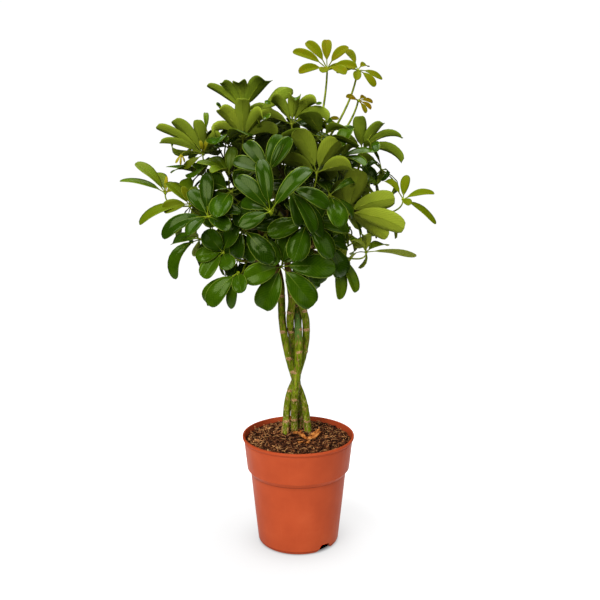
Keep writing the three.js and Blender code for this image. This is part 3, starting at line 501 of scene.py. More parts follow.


# Green bark: smooth and half matt, streaked lighter and darker along the stem, cracked to tan
# cork in short upright splits, with pinkish tan cork on the scars, brown cork in the crown, and
# painted brown shade where the stems lie close together.
green_bark, tree = new_material("green_corky_bark")
object_place = add_node(tree, "TexCoord", output="Object")
scar_state, brown_and_shade_state, fresh_state = add_node(tree, "SeparateColor", {
    "Color": add_node(tree, "Attribute", {"attribute_name": "bark"}),
}, "all")
streak_place = add_node(tree, "Mapping", {"Vector": object_place, "Scale": (1.0, 1.0, 0.28)})
streaks = add_node(tree, "TexNoise", {
    "Vector": streak_place, "Scale": 260.0, "Detail": 5.0, "Roughness": 0.65,
})
colour = add_node(tree, "ValToRGB", {"Fac": streaks, "stops": [
    (0.3, "#333b02"), (0.45, "#5a6a04"), (0.6, "#788710"), (0.75, "#99a236"),
]})
# Cork splits about 1.5 mm wide and 6 mm long
split_place = add_node(tree, "Mapping", {"Vector": object_place, "Scale": (420.0, 420.0, 110.0)})
splits = add_node(tree, "TexNoise", {"Vector": split_place, "Scale": 1.0, "Detail": 3.0})
split_share = add_node(tree, "MapRange", {
    "Value": splits, "From Min": 0.57, "From Max": 0.64, "To Max": 0.9,
})
# Pale slanting flecks about 1 mm by 4 mm, thick at the foot and few above
fleck_place = add_node(tree, "Mapping", {
    "Vector": object_place, "Rotation": (0.0, 0.6, 0.5), "Scale": (700.0, 500.0, 190.0),
})
flecks = add_node(tree, "TexNoise", {"Vector": fleck_place, "Scale": 1.0, "Detail": 1.0})
fleck_limit = add_node(tree, "MapRange", {
    "Value": add_node(tree, "SeparateXYZ", {"Vector": object_place}, "Z"),
    "From Min": 0.19, "From Max": 0.3, "To Min": 0.55, "To Max": 0.68,
})
fleck_share = add_node(tree, "Math", {"operation": "SUBTRACT", 0: flecks, 1: fleck_limit})
fleck_share = add_node(tree, "Math", {
    "operation": "MULTIPLY", "use_clamp": True, 0: fleck_share, 1: 14.0,
})
brown = add_node(tree, "ValToRGB", {
    "Fac": streaks, "stops": [(0.35, "#1e1007"), (0.5, "#482913"), (0.65, "#6e4a26")],
})
scar_noise = add_node(tree, "TexNoise", {"Vector": object_place, "Scale": 700.0, "Detail": 3.0})
scar_colour = add_node(tree, "ValToRGB", {
    "Fac": scar_noise, "stops": [(0.35, "#5a3c1c"), (0.5, "#a07a4c"), (0.62, "#cda877")],
})
scar_edge = add_node(tree, "Math", {
    "operation": "MULTIPLY_ADD", 0: scar_noise, 1: 0.9, 2: -0.45,
})
scar_edge = add_node(tree, "Math", {"operation": "ADD", 0: scar_state, 1: scar_edge})
cork_share = add_node(tree, "MapRange", {"Value": scar_edge, "From Min": 0.35, "From Max": 0.6})
for share, over in ((fresh_state, "#587a34"), (split_share, "#8a6639"), (fleck_share, "#b3a065"),
                    (brown_and_shade_state, brown), (cork_share, scar_colour)):
    colour = add_node(tree, "Mix", {"data_type": "RGBA", 0: share, 6: colour, 7: over}, 2)
bump = add_node(tree, "Bump", {"Height": splits, "Strength": 0.7, "Distance": 0.001})
add_node(tree, "OutputMaterial", {"Surface": add_node(tree, "BsdfPrincipled", {
    "Base Color": colour, "Normal": bump, "Roughness": 0.6, "IOR": 1.42, "Specular IOR Level": 0.08,
})})

stem_lines = {name: [np.array(point, float) for point in line] for name, line in STEMS.items()}
for stem_name, line in stem_lines.items():
    centres = [curve_point(line, i / STEM_STEPS) for i in range(STEM_STEPS + 1)]
    radii = [
        STEM_RADIUS + (STEM_TOP_RADIUS - STEM_RADIUS) * smooth_step(
            centre[2], STEM_THINS_FROM, STEM_THINS_TO) for centre in centres
    ]
    scars = SCARS[stem_name]

    def scar_share(i, turn):
        """How much of a scar ring i has on the side at that turn, from 0 to 1."""
        share = 0.0
        for height, side in scars:
            reach = (centres[i][2] - height) / SCAR_HALF_HEIGHT
            if abs(reach) < 2:
                off = (math.degrees(turn) - side + 180) % 360 - 180
                edge = 1 - (off / SCAR_HALF_WIDTH) ** 2 - reach * reach
                share = max(share, smooth_step(edge, *SCAR_EDGE))
        return share

    def bark_relief(i, turn):
        """Scars stand out, and the bark between them is a little uneven."""
        place = Vector((
            math.cos(turn) * BARK_ROUND, math.sin(turn) * BARK_ROUND, centres[i][2] / BARK_PATCH))
        return SCAR_RELIEF * scar_share(i, turn) + BARK_RELIEF * noise.noise(place)

    stem = rolled_tube(stem_name + "_bark", centres, radii, STEM_SIDES, green_bark, bark_relief)
    # Red is scar, green is brown wood or painted brown shade where the next stem lies close, blue
    # is fresh bluish bark
    bark = stem.data.color_attributes.new("bark", "FLOAT_COLOR", "POINT")
    ring_places = np.array(centres)
    other_places = np.array([
        curve_point(other, i / NEIGHBOUR_STEPS) for name, other in stem_lines.items()
        if name != stem_name for i in range(NEIGHBOUR_STEPS + 1)
    ])
    for vertex, state_colour in zip(stem.data.vertices, bark.data):
        place = np.array(vertex.co) / MM
        i = int(np.argmin(np.abs(ring_places - place).sum(axis=1)))
        turn = math.atan2(place[1] - centres[i][1], place[0] - centres[i][0])
        uneven = BROWN_UNEVEN * noise.noise(Vector(place) / BROWN_PATCH)
        brown_and_shade_share = smooth_step(place[2] + uneven, BROWN_FROM, BROWN_TO)
        # Painted shade where another stem lies close
        gap = np.linalg.norm(other_places - place, axis=1).min() - STEM_RADIUS
        gap += CLOSE_SHADE_UNEVEN * noise.noise(Vector(place) / CLOSE_SHADE_PATCH)
        close_shade = BROWN_DEPTH * (1 - smooth_step(gap, 0.3 * CLOSE_SHADE_REACH, CLOSE_SHADE_REACH))
        brown_and_shade_share = BROWN_DEPTH * max(brown_and_shade_share, close_shade)
        fresh_share = 0.0
        if stem_name == "stem_front":
            start, full, ending, end = FRESH_HEIGHTS
            fresh_share = smooth_step(place[2], start, full)
            fresh_share *= 1 - smooth_step(place[2], ending, end)
        state_colour.color = (scar_share(i, turn), brown_and_shade_share, fresh_share, 1.0)
    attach(stem, "root")
    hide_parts(stem_name)

# Loose bark and coir
# What lies on top of the mix: flakes and crumbs of bark, coir fibres, a few large pieces of fresh
# orange bark in front of the stems, and the fine pale roots that show at the stems' feet.

FLAKE_COUNT = 800
CRUMB_COUNT = 650
FIBRE_COUNT = 420
ROOTS_PER_STEM = 9
FLAKE_KINDS = 5
FLAKE_WIDTH = 0.62
FLAKE_TAPER = 0.5
FLAKE_THICKNESS = 0.2
FLAKE_CURL = 0.5
TORN_BY = 0.17
TORN_EDGE = math.radians(50)
# Smallest size, and the most that is added to it
FLAKE_SIZES = (2.2, 5.0)
CRUMB_SIZES = (1.4, 2.8)
# How far a flake or crumb reaches from its middle, as a share of its size
REACH_SHARE = 0.6
FIBRE_HALF_LENGTHS = (3, 8)
FIBRE_STEPS = (-1, -0.5, 0, 0.5, 1)
FIBRE_RADII = (0.2, 0.38, 0.45, 0.38, 0.2)
STICK_STEPS = (0, 0.3, 0.6, 0.85, 1)
STICK_RADII = (1, 1, 0.9, 0.7, 0.4)
STICK_TONE = 0.85
ROOT_TOPS = (186, 206)
ROOT_FOOT = 178
ROOT_STEPS = (0, 0.25, 0.5, 0.75, 1)
ROOT_RADII = (0.25, 0.5, 0.55, 0.5, 0.4)
# Where the mix is paler or darker: the size of its pale patches, and a darker spot in front of the
# stems with its radius
PALE_PATCH_SIZE = 17
DARK_SPOT = (-5, -28)
DARK_SPOT_RADIUS = 26
# Large splinters of fresh bark: place on the mix, length, the angles they are rolled, tipped and
# turned by, and lift
BARK_PIECES = [
    (-1, 4, 15, (60, 20, 20), 3.5), (9, -12, 20, (60, 42, -10), 5.0),
    (12, -17, 14, (50, 30, -30), 3.0), (26, -4, 22, (60, -38, 15), 6.0),
    (30, -9, 15, (45, -30, 35), 4.0), (20, -14, 12, (55, -10, 0), 3.5),
    (4, -34, 11, (40, 10, 40), 2.5), (14, -30, 12, (45, -15, -20), 2.5),
]
# Sticks and stiff fibres that stand up: foot, tip, and radius
STICKS = [
    ((-75.5, 42.5, 177), (-76.5, 43.0, 189), 0.9), ((-82.5, 29.0, 177), (-83.0, 28.5, 186), 0.8),
    ((21, 45, 180), (25, 43, 197), 0.35), ((26, 40, 180), (31, 38, 192), 0.3),
    ((-50, 62, 178), (-49, 63, 188), 0.5), ((-58, 52, 178), (-54, 50, 184), 0.4),
    ((44, 62, 178), (50, 64, 187), 0.35), ((-30, 66, 179), (-36, 65, 187), 0.35),
]
STEM_FEET = [(17, 24), (-7.2, 24), (-23.2, 14), (3, 40)]
# Shares of a stem's line that are near the mix
STEM_FOOT_SHARES = [i / 120 for i in range(50)]

# Pine bark and coir as they come from the mixer: torn, matt, from almost black where damp to
# tan where dry, and orange where bark is freshly split.
torn_bark, tree = new_material("torn_bark_and_coir")
object_place = add_node(tree, "TexCoord", output="Object")
tone, fresh_state, _ = add_node(tree, "SeparateColor", {
    "Color": add_node(tree, "Attribute", {"attribute_name": "kind"}),
}, "all")
# Torn grain about 1.5 mm wide, and patches of about 5 mm where a piece is still damp or has lost
# its outer bark, each as its noise and how far that moves the tone
grain = add_node(tree, "TexNoise", {"Vector": object_place, "Scale": 600.0, "Detail": 4.0})
patches = add_node(tree, "TexNoise", {"Vector": object_place, "Scale": 200.0, "Detail": 1.0})
for pattern, strength in ((grain, 1.3), (patches, 1.9)):
    off = add_node(tree, "Math", {"operation": "SUBTRACT", 0: pattern, 1: 0.5})
    tone = add_node(tree, "Math", {"operation": "MULTIPLY_ADD", 0: off, 1: strength, 2: tone})
dry = add_node(tree, "ValToRGB", {"Fac": tone, "stops": [
    (0.05, "#0c0503"), (0.35, "#2f170b"), (0.58, "#6a3b21"), (0.82, "#a3683e"), (1.0, "#c8965f"),
]})
fresh = add_node(tree, "ValToRGB", {
    "Fac": tone, "stops": [(0.15, "#3f1c09"), (0.5, "#8f4c1b"), (0.85, "#c07c3e")],
})
colour = add_node(tree, "Mix", {"data_type": "RGBA", 0: fresh_state, 6: dry, 7: fresh}, 2)
bump = add_node(tree, "Bump", {"Height": grain, "Strength": 0.7, "Distance": 0.0008})
add_node(tree, "OutputMaterial", {"Surface": add_node(tree, "BsdfPrincipled", {
    "Base Color": colour, "Normal": bump, "Roughness": 0.9, "IOR": 1.4, "Specular IOR Level": 0.1,
})})


def torn_template(draw, flat):
    """A torn piece about 1 across: a flake from a flat box, or a crumb from a rough ball."""
    if flat:
        piece = new_primitive(bpy.ops.mesh.primitive_cube_add, size=1)
        bpy.ops.object.mode_set(mode="EDIT")
        bpy.ops.mesh.select_all(action="SELECT")
        bpy.ops.mesh.subdivide(number_cuts=1)
        bpy.ops.object.mode_set(mode="OBJECT")
    else:
        piece = new_primitive(bpy.ops.mesh.primitive_ico_sphere_add, subdivisions=1, radius=0.5)
    for vertex in piece.data.vertices:
        vertex.co += Vector(draw.uniform(-TORN_BY, TORN_BY, 3))
        if flat:
            taper = 1 - FLAKE_TAPER * (vertex.co.x + 0.5)
            vertex.co.y *= FLAKE_WIDTH * taper
            vertex.co.z = vertex.co.z * FLAKE_THICKNESS + FLAKE_CURL * vertex.co.x ** 2
    piece.data.materials.append(torn_bark)
    bpy.ops.object.shade_smooth_by_angle(angle=TORN_EDGE)
    mesh = piece.data
    bpy.data.objects.remove(piece)
    return mesh


def new_copy(mesh):
    """An object in the scene with a copy of the mesh."""
    piece = bpy.data.objects.new("copy", mesh.copy())
    bpy.context.scene.collection.objects.link(piece)
    return piece


def paint(piece, name, colours):
    """Stores colours on a piece's points: one for each, or one for all."""
    painted = piece.data.color_attributes.new(name, "FLOAT_COLOR", "POINT")
    colours = np.broadcast_to(colours, (len(piece.data.vertices), 4))
    painted.data.foreach_set("color", colours.ravel())
    return piece


def lay_copy(mesh, place, size, turns, tone, fresh_share):
    """A copy of a template, scaled and turned, at its place, with its colour on its points."""
    piece = new_copy(mesh)
    turn = Euler([math.radians(angle) for angle in turns]).to_matrix().to_4x4()
    piece.data.transform(
        Matrix.Translation(Vector(place) * MM) @ turn @ Matrix.Diagonal((*(Vector(size) * MM), 1)))
    return paint(piece, "kind", (tone, fresh_share, 0.0, 1.0))


def straight_template(sides, rings, material):
    """A straight closed tube with its rings 1 mm apart, to be bent: its mesh, and the ring and
    the turn of each of its points."""
    piece = rolled_tube("straight", [(0, 0, i) for i in range(rings)], [1] * rings, sides, material)
    places = places_of(piece.data) / MM
    mesh = piece.data
    bpy.data.objects.remove(piece)
    return mesh, np.rint(places[:, 2]).astype(int), np.arctan2(places[:, 1], places[:, 0])


def bent_copy(template, centres, radii):
    """A copy of a straight tube, bent along the centres."""
    mesh, ring, turn = template
    piece = new_copy(mesh)
    place_round(piece.data, np.array(centres, float), ring, turn, np.array(radii, float)[ring])
    return piece


def lay_fibre(points, radii, tone):
    """A fibre or stick along its points, with its colour on its points."""
    return paint(bent_copy(fibre_template, points, radii), "kind", (tone, 0.0, 0.0, 1.0))


draw = np.random.default_rng(5)
flakes = [torn_template(draw, True) for _ in range(FLAKE_KINDS)]
lumps = [torn_template(draw, False) for _ in range(FLAKE_KINDS)]
fibre_template = straight_template(4, 5, torn_bark)


def open_place(reach):
    """A place on the mix that is clear of the stems and of the wall by a reach."""
    while True:
        away = (soil_radius - reach) * math.sqrt(draw.uniform(0, 1))
        turn = draw.uniform(0, 2 * math.pi)
        x, y = away * math.cos(turn), away * math.sin(turn)
        if all(math.hypot(x - foot[0], y - foot[1]) > STEM_RADIUS + REACH_SHARE * reach
               for foot in STEM_FEET):
            return x, y


def mix_paleness(x, y):
    """How much paler the mix is at a place: paler towards the left and in patches, and darker
    behind the stems and in a spot just in front of them."""
    from_spot = math.hypot(x - DARK_SPOT[0], y - DARK_SPOT[1])
    return (min(0.2, max(0.0, -0.005 * x)) - 0.003 * max(0.0, y - 10)
            - 0.3 * max(0.0, 1 - from_spot / DARK_SPOT_RADIUS)
            + 0.42 * noise.noise(Vector((x, y, 0)) / PALE_PATCH_SIZE))


loose = []
for _ in range(FLAKE_COUNT):
    size = FLAKE_SIZES[0] + FLAKE_SIZES[1] * draw.uniform(0, 1) ** 2
    x, y = open_place(size * REACH_SHARE)
    z = soil_top(x, y) + crumbs(x, y) + 0.25 * size * draw.uniform(0, 1)
    loose.append(lay_copy(
        flakes[draw.integers(FLAKE_KINDS)], (x, y, z),
        (size, size * draw.uniform(0.4, 1.0), size * draw.uniform(0.5, 1.1)),
        (draw.uniform(-40, 40), draw.uniform(-40, 40), draw.uniform(0, 360)),
        draw.uniform(0.1, 1.0) ** 1.5 + mix_paleness(x, y), 0.25 * draw.uniform(0, 1)))
for _ in range(CRUMB_COUNT):
    size = CRUMB_SIZES[0] + CRUMB_SIZES[1] * draw.uniform(0, 1)
    x, y = open_place(size * REACH_SHARE)
    z = soil_top(x, y) + crumbs(x, y) + 0.3 * size
    loose.append(lay_copy(
        lumps[draw.integers(FLAKE_KINDS)], (x, y, z), (size, size * 0.8, size * 0.7),
        (draw.uniform(0, 360), draw.uniform(0, 360), 0),
        draw.uniform(0.0, 0.6) + mix_paleness(x, y), 0.0))
for x, y, size, angles, rise in BARK_PIECES:
    loose.append(lay_copy(
        flakes[draw.integers(FLAKE_KINDS)], (x, y, soil_top(x, y) + rise),
        (size, size * 0.6, size * 0.9), angles, draw.uniform(0.4, 0.85), 1.0))
for _ in range(FIBRE_COUNT):
    reach = draw.uniform(*FIBRE_HALF_LENGTHS)
    x, y = open_place(reach + 1)
    turn = draw.uniform(0, 2 * math.pi)
    z = soil_top(x, y) + draw.uniform(0.8, 2.6)
    tilt = draw.uniform(-0.3, 0.3)
    sway = draw.uniform(-0.4, 0.4) * reach
    points = []
    for step in FIBRE_STEPS:
        ahead = step * reach
        side = sway * (1 - step * step)
        points.append((x + ahead * math.cos(turn) - side * math.sin(turn),
                       y + ahead * math.sin(turn) + side * math.cos(turn),
                       z + ahead * tilt + 0.12 * reach * (1 - step * step)))
    loose.append(lay_fibre(points, FIBRE_RADII, draw.uniform(0.4, 1.05)))
for foot, tip, radius in STICKS:
    foot, tip = np.array(foot, float), np.array(tip, float)
    bow = np.array((0.6, 0.0, 0.0)) * radius
    points = [foot + (tip - foot) * step + bow * math.sin(3 * step) for step in STICK_STEPS]
    loose.append(lay_fibre(points, [radius * share for share in STICK_RADII], STICK_TONE))
for line in stem_lines.values():
    stem_foot = [curve_point(line, share) for share in STEM_FOOT_SHARES]
    for _ in range(ROOTS_PER_STEM):
        turn = draw.uniform(0, 2 * math.pi)
        outward = np.array((math.cos(turn), math.sin(turn), 0.0))
        top = draw.uniform(*ROOT_TOPS)
        spread = draw.uniform(0.5, 5.0)
        points = []
        for step in ROOT_STEPS:
            height = top + (ROOT_FOOT - top) * step
            centre = min(stem_foot, key=lambda point: abs(point[2] - height))
            points.append((centre[0], centre[1], height)
                          + outward * (STEM_RADIUS + 0.1 + spread * step ** 2))
        loose.append(lay_fibre(points, ROOT_RADII, draw.uniform(0.8, 1.05)))
loose_top = join_pieces("loose_bark_and_coir", loose)
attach(loose_top, "root")

# Crown
# Where each shoot, petiole and leaflet stands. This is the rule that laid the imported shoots, with
# the same values, so that the finer leaves below take the places of the plain ones. A leaflet
# that would meet another leaf is turned or shortened until it is clear.

# Shoots: the stem each grows from, the height it leaves at, and its tip
SHOOTS = {
    "shoot_upper_left": ("stem_left", 571, (-118, 0, 640)),
    "shoot_left": ("stem_left", 545, (-118, -50, 560)),
    "shoot_far_left": ("stem_left", 558, (-150, 10, 590)),
    "shoot_lower_left": ("stem_left", 500, (-88, -62, 500)),
    "shoot_back_left": ("stem_left", 515, (-110, 75, 560)),
    "shoot_centre": ("stem_back", 571, (-34, -95, 600)),
    "shoot_low_front": ("stem_back", 500, (-22, -60, 505)),
    "shoot_front_right": ("stem_back", 548, (22, -80, 600)),
    "shoot_right": ("stem_right", 571, (92, 0, 630)),
    "shoot_far_right": ("stem_right", 552, (95, -42, 575)),
    "shoot_lower_right": ("stem_right", 505, (70, -20, 500)),
    "shoot_back_right": ("stem_right", 535, (105, 60, 570)),
    "shoot_top": ("stem_front", 573, (28, 22, 680)),
    "shoot_top_left": ("stem_front", 566, (-52, 38, 680)),
    "shoot_back": ("stem_front", 545, (0, 125, 610)),
    "shoot_low_back": ("stem_front", 495, (10, 110, 510)),
}
# Leaves seen in front: shoot, hub, the way the upper face looks, width of the leaflets, age from
# 0 for a young yellow leaf to 1 for an old dark one, and the leaflets' tips as seen from the hub
FRONT_LEAVES = [
    ("shoot_low_front", (-26, -92, 496), (0, -0.95, 0.3), 34, 0.64, [
        (-58, -8, -20), (11, 8, 55), (84, 0, 2), (-28, -6, -66), (51, -6, -60), (42, 22, 38)]),
    ("shoot_centre", (-40, -165, 589), (0, -0.8, 0.6), 28, 1.0, [
        (-13, 22, 77), (-48, 14, 50), (60, 8, 66), (-42, -20, -20), (-44, 30, 12)]),
    ("shoot_front_right", (-14, -128, 620), (0.35, -0.85, 0.45), 26, 0.9, [
        (60, -10, -26), (18, -14, -56), (40, -12, -66), (56, 4, -72)]),
    ("shoot_front_right", (28, -100, 640), (0, 0.75, 0.66), 32, 0.5, [
        (-31, 0, 69), (32, -6, 52), (56, -22, 12), (-50, 20, 20), (8, 60, 30)]),
    ("shoot_far_right", (76, -60, 576), (-0.1, 0.85, 0.5), 34, 0.45, [
        (23, 4, 64), (74, 4, 24), (90, -8, -22), (68, 24, -34), (-13, 24, 48), (-50, 8, 4)]),
    ("shoot_far_right", (165, -40, 594), (0, -0.35, 0.94), 17, 0.12, [
        (5, 20, 38), (-28, 16, 30), (50, 2, 8), (50, -8, -40), (4, -36, -6)]),
    ("shoot_lower_right", (108, -40, 510), (0, -0.25, 0.97), 22, 0.35, [
        (80, 0, -8), (-24, -20, 24), (6, 6, 40), (36, 46, 6), (-30, 50, 0)]),
    ("shoot_lower_right", (61, -34, 509), (0.3, -0.6, 0.74), 24, 0.4, [
        (8, -16, -74), (32, -8, -64), (60, 26, -20), (4, 16, 34)]),
    ("shoot_left", (-135, -110, 575), (-0.2, -0.55, 0.8), 26, 0.9, [
        (-71, -6, -28), (50, -16, 12), (0, 18, 66), (-27, 18, 40), (34, -36, -14),
        (-28, -40, -22)]),
    ("shoot_lower_left", (-115, -92, 518), (-0.25, -0.8, 0.5), 30, 0.7, [
        (-26, -20, 36), (-42, -12, -6), (32, 6, 38), (-30, -20, -36), (12, -26, -22)]),
    ("shoot_lower_left", (-91, -112, 490), (-0.2, -0.85, 0.5), 27, 0.62, [
        (-48, -10, -47), (10, -10, 38), (13, -18, -35), (-60, 12, -50), (-14, 4, -58)]),
    ("shoot_far_left", (-152, -60, 534), (-0.6, -0.4, 0.7), 25, 0.65, [
        (-47, -4, -64), (-24, -30, 6), (-52, 40, -14), (-10, 50, -34)]),
    ("shoot_far_left", (-210, -30, 603), (0.1, -0.15, 0.98), 24, 0.3, [
        (-48, 6, 46), (-70, -6, 20), (30, 40, 10), (-20, 56, 26)]),
    ("shoot_far_left", (-169, -52, 585), (-0.2, -0.2, 0.95), 25, 0.3, [
        (-82, 0, -29), (-44, 28, 12), (-10, 40, 36), (24, 44, 8)]),
    ("shoot_upper_left", (-148, -36, 664), (0.15, 0.65, 0.74), 25, 0.65, [
        (-70, -8, 44), (-64, -22, 20), (-44, -14, 52), (-70, 14, -2), (-10, -26, 48),
        (20, 54, -14), (36, -14, 30)]),
    ("shoot_top_left", (-88, 14, 730), (0, 0.75, 0.66), 27, 0.75, [
        (-56, -2, 42), (-33, -12, 48), (-8, -16, 54), (42, -12, 60), (-54, 30, -8), (0, 60, -26),
        (50, 34, -6)]),
    ("shoot_upper_left", (-85, -44, 688), (0, 0.72, 0.69), 29, 0.5, [
        (-34, -12, 48), (0, -18, 62), (38, -20, 48), (-60, 6, 12), (56, 6, 12), (-10, 58, -32)]),
    ("shoot_top", (-10, -36, 710), (0, 0.7, 0.7), 28, 0.62, [
        (-40, -8, 48), (44, -6, 42), (62, -4, 14), (-62, 4, 12), (6, -22, 56), (0, 56, -22)]),
    ("shoot_top", (46, 20, 795), (0, -0.42, 0.91), 16, 0.0, [
        (-46, -16, -5), (-55, -2, 26), (-34, 16, 43), (-3, 26, 47), (32, 12, 36), (46, -10, 4),
        (30, -36, -7), (-6, -40, -6)]),
    ("shoot_top", (95, 30, 794), (0.1, -0.3, 0.95), 13, 0.0, [
        (-13, 14, 39), (-36, -14, 20), (19, 40, 8), (40, 8, -15), (28, -16, -26), (-2, -38, -8),
        (-48, 4, 2)]),
    ("shoot_top", (96, 15, 746), (0.2, -0.3, 0.93), 8, -0.12, [
        (-20, 0, 6), (-14, -12, 2), (12, -10, -20), (20, -2, -14), (24, 6, -2), (12, 18, 6)]),
    ("shoot_top", (43, 6, 714), (0, -0.3, 0.95), 7, -0.12, [
        (-20, 0, 8), (-16, -10, -2), (16, -6, -6), (22, 4, 4), (6, 18, 6)]),
    ("shoot_right", (102, 0, 668), (-0.1, 0.65, 0.75), 24, 0.75, [
        (-6, -12, 54), (31, -12, 46), (64, -6, 28), (70, 10, -14), (20, -44, 10), (-44, -18, 20),
        (-30, 50, -20)]),
    ("shoot_right", (60, -40, 655), (0.1, -0.3, 0.95), 26, 0.6, [
        (-24, 16, 46), (30, 10, 50), (58, -10, 12), (40, -44, -4), (-6, -58, 2)]),
    ("shoot_centre", (-44, -118, 640), (0, -0.85, 0.52), 24, 0.95, [
        (14, 16, 58), (-32, 20, 46), (36, 12, 50), (-52, 6, 18)]),
    ("shoot_left", (-105, -84, 637), (0, -0.3, 0.95), 20, 0.4, [
        (-48, 2, 20), (8, 10, 42), (40, -30, 6), (-20, -46, 6), (-30, 34, 24)]),
]
# Leaves that fill the crown between those in front: hub, and the way the upper face looks
MIDDLE_LEAVES = [
    ((-70, -78, 606), (-0.1, -0.7, 0.7)), ((-100, -100, 612), (-0.2, -0.75, 0.6)),
    ((-84, -96, 556), (-0.2, -0.8, 0.5)), ((-50, -88, 546), (0, -0.85, 0.5)),
    ((14, -96, 566), (0.2, -0.8, 0.55)), ((42, -72, 532), (0.3, -0.8, 0.5)),
    ((48, -92, 606), (0.25, -0.7, 0.65)), ((36, -62, 692), (0, 0.4, 0.9)),
    ((-112, -40, 682), (-0.1, 0.4, 0.9)), ((-150, -4, 626), (-0.3, 0.1, 0.95)),
    ((-132, -66, 548), (-0.4, -0.6, 0.7)), ((-2, -66, 502), (0.1, -0.7, 0.7)),
    ((112, 6, 616), (0.3, 0.1, 0.95)), ((-40, -10, 700), (0, 0.3, 0.95)),
    ((62, 44, 690), (0.2, 0.4, 0.9)),
]
# Rings of leaves over the back of an ellipsoid: height, first and last turn, and how many
CROWN_CENTRE = np.array((-14.0, 12.0, 612.0))
CROWN_REACH = np.array((160.0, 150.0, 112.0))
BACK_RINGS = [(-0.72, -10, 190, 5), (-0.28, 0, 180, 7), (0.2, 12, 170, 6), (0.62, 20, 160, 4),
              (0.9, 70, 110, 1)]
RING_LEAF_LENGTH = 70
RING_LEAF_WIDTH = 31
BACK_LEAFLETS = 7
MIDDLE_LEAFLETS = 6
SHOOT_SAG = 0.1
PETIOLE_BOW = 0.4
PETIOLE_BENDS = [(0, 0), (12, 0), (-12, 0), (0, 12), (0, -12), (22, 10), (-22, 10), (22, -10),
                 (-22, -10), (0, 26), (0, -26), (36, 0), (-36, 0)]
FIRST_PETIOLE_SHARE = 0.97
LAST_PETIOLE_SHARE = 0.55
PETIOLE_SPACING = 0.1
HUB_HALF_HEIGHT = 1.8
OUTLINE_RISE = 0.9
OUTLINE_FALL = 0.42
WIDEST_SHARE = OUTLINE_RISE / (OUTLINE_RISE + OUTLINE_FALL)
STALK_SHARE = 0.14
BLADE_ARCH = 0.1
BLADE_TURNS = [(0, 0), (0, 7), (0, -7), (7, 0), (-7, 0), (0, 14), (0, -14), (7, 10), (-7, 10),
               (7, -10), (-7, -10), (0, 21), (0, -21), (12, 0), (-12, 0), (0, 28), (0, -28),
               (12, 16), (-12, 16), (12, -16), (-12, -16), (0, 36), (0, -36)]
BLADE_SCALES = (1, 0.8)
FEWEST_BLADES = 3
FRONT_TURNS = (0,)
RING_TURNS = (0, 17, 34)
# The crown is divided into small cells. Each holds the number of the leaf in it, or SHARED.
CELL = 4
CROWN_LOW = np.array((-330.0, -280.0, 380.0))
CROWN_CELLS = np.array((145, 140, 125))
SHARED = -1
NEIGHBOURS = np.array([(i, j, k) for i in (-1, 0, 1) for j in (-1, 0, 1) for k in (-1, 0, 1)])
# Shares of a bow's and of a blade's length at which it takes its cells
BOW_SAMPLES = [i / 60 for i in range(12, 59)]
BLADE_SAMPLES = [i / 20 for i in range(4, 21)]
# Half the thickness of a stem where it takes its cells
STEM_CORE = 4.0
CORE_STEPS = 160
# Points of a stem among which the one that a shoot leaves from is found
LEAVE_STEPS = 400
# Draws of the leaves placed by rule: the least, and the most that is added
RING_DROOPS = (4, 16)
RING_LENGTHS = (0.86, 0.22)
RING_DEPTHS = (0.88, 0.2)
RING_TURN_SPREAD = 8
# How much a back leaf's face looks out from the crown's middle, and how much it looks up
BACK_LEAF_OUTWARD = 0.65
BACK_LEAF_UPWARD = 0.6
UP = np.array((0.0, 0.0, 1.0))
RIGHT = np.array((1.0, 0.0, 0.0))

cells = np.zeros(CROWN_CELLS, np.int16)


def length(vector):
    return math.sqrt(vector[0] * vector[0] + vector[1] * vector[1] + vector[2] * vector[2])


def unit(vector):
    return vector * (1 / (length(vector) or 1))


def sideways(along):
    """A unit vector square to a direction: level, or close to +X where the direction is upright."""
    base = np.array((0.0, 1.0, 0.0)) if abs(along[2]) > UPRIGHT else UP
    return unit(np.cross(base, along))


def turned(vector, axis, degrees):
    """The vector turned about a unit axis."""
    angle = math.radians(degrees)
    return (vector * math.cos(angle) + np.cross(axis, vector) * math.sin(angle)
            + axis * (axis.dot(vector) * (1 - math.cos(angle))))


def cells_of(points):
    """The cells that points are in, without those outside the crown."""
    places = np.floor((np.asarray(points) - CROWN_LOW) / CELL).astype(int)
    return places[np.all((places > 0) & (places < CROWN_CELLS - 1), axis=1)]


def take(points, owner):
    """Gives the cells around points to a leaf, or marks them as shared."""
    places = tuple((cells_of(points)[:, None, :] + NEIGHBOURS).reshape(-1, 3).T)
    found = cells[places]
    cells[places] = np.where((found == 0) | (found == owner), owner, SHARED)


def crowded(points, owner):
    """How many of the points lie in cells of other leaves."""
    found = cells[tuple(cells_of(points).T)]
    return int(np.count_nonzero((found != 0) & (found != owner)))


def bow_point(bow, share):
    """A point of a bow from one point to another by way of a third."""
    start, by, end = bow
    rest = 1 - share
    return start * (rest * rest) + by * (2 * rest * share) + end * (share * share)


def bow_samples(bow):
    return [bow_point(bow, share) for share in BOW_SAMPLES]


def lay_petiole(leaf, start):
    """The bow from the shoot to the back of the hub that meets the fewest others."""
    span = leaf["hub"] - start
    side = sideways(unit(span))
    other = np.cross(unit(span), side)
    end = leaf["hub"] + leaf["facing"] * (-HUB_HALF_HEIGHT + 0.2)
    best = None
    best_crowd = math.inf
    for across, along in PETIOLE_BENDS:
        by = (leaf["hub"] + leaf["facing"] * (-PETIOLE_BOW * length(span))
              + side * across + other * along)
        bow = (start, by, end)
        crowd = crowded(bow_samples(bow), leaf["owner"])
        if crowd < best_crowd:
            best = bow
            best_crowd = crowd
    return best


def outline(share):
    """Half-width of a leaflet's blade along its length, before it is scaled."""
    return share ** OUTLINE_RISE * (1 - share) ** OUTLINE_FALL


def half_width(share, width):
    return width / 2 * (outline(share) / outline(WIDEST_SHARE))


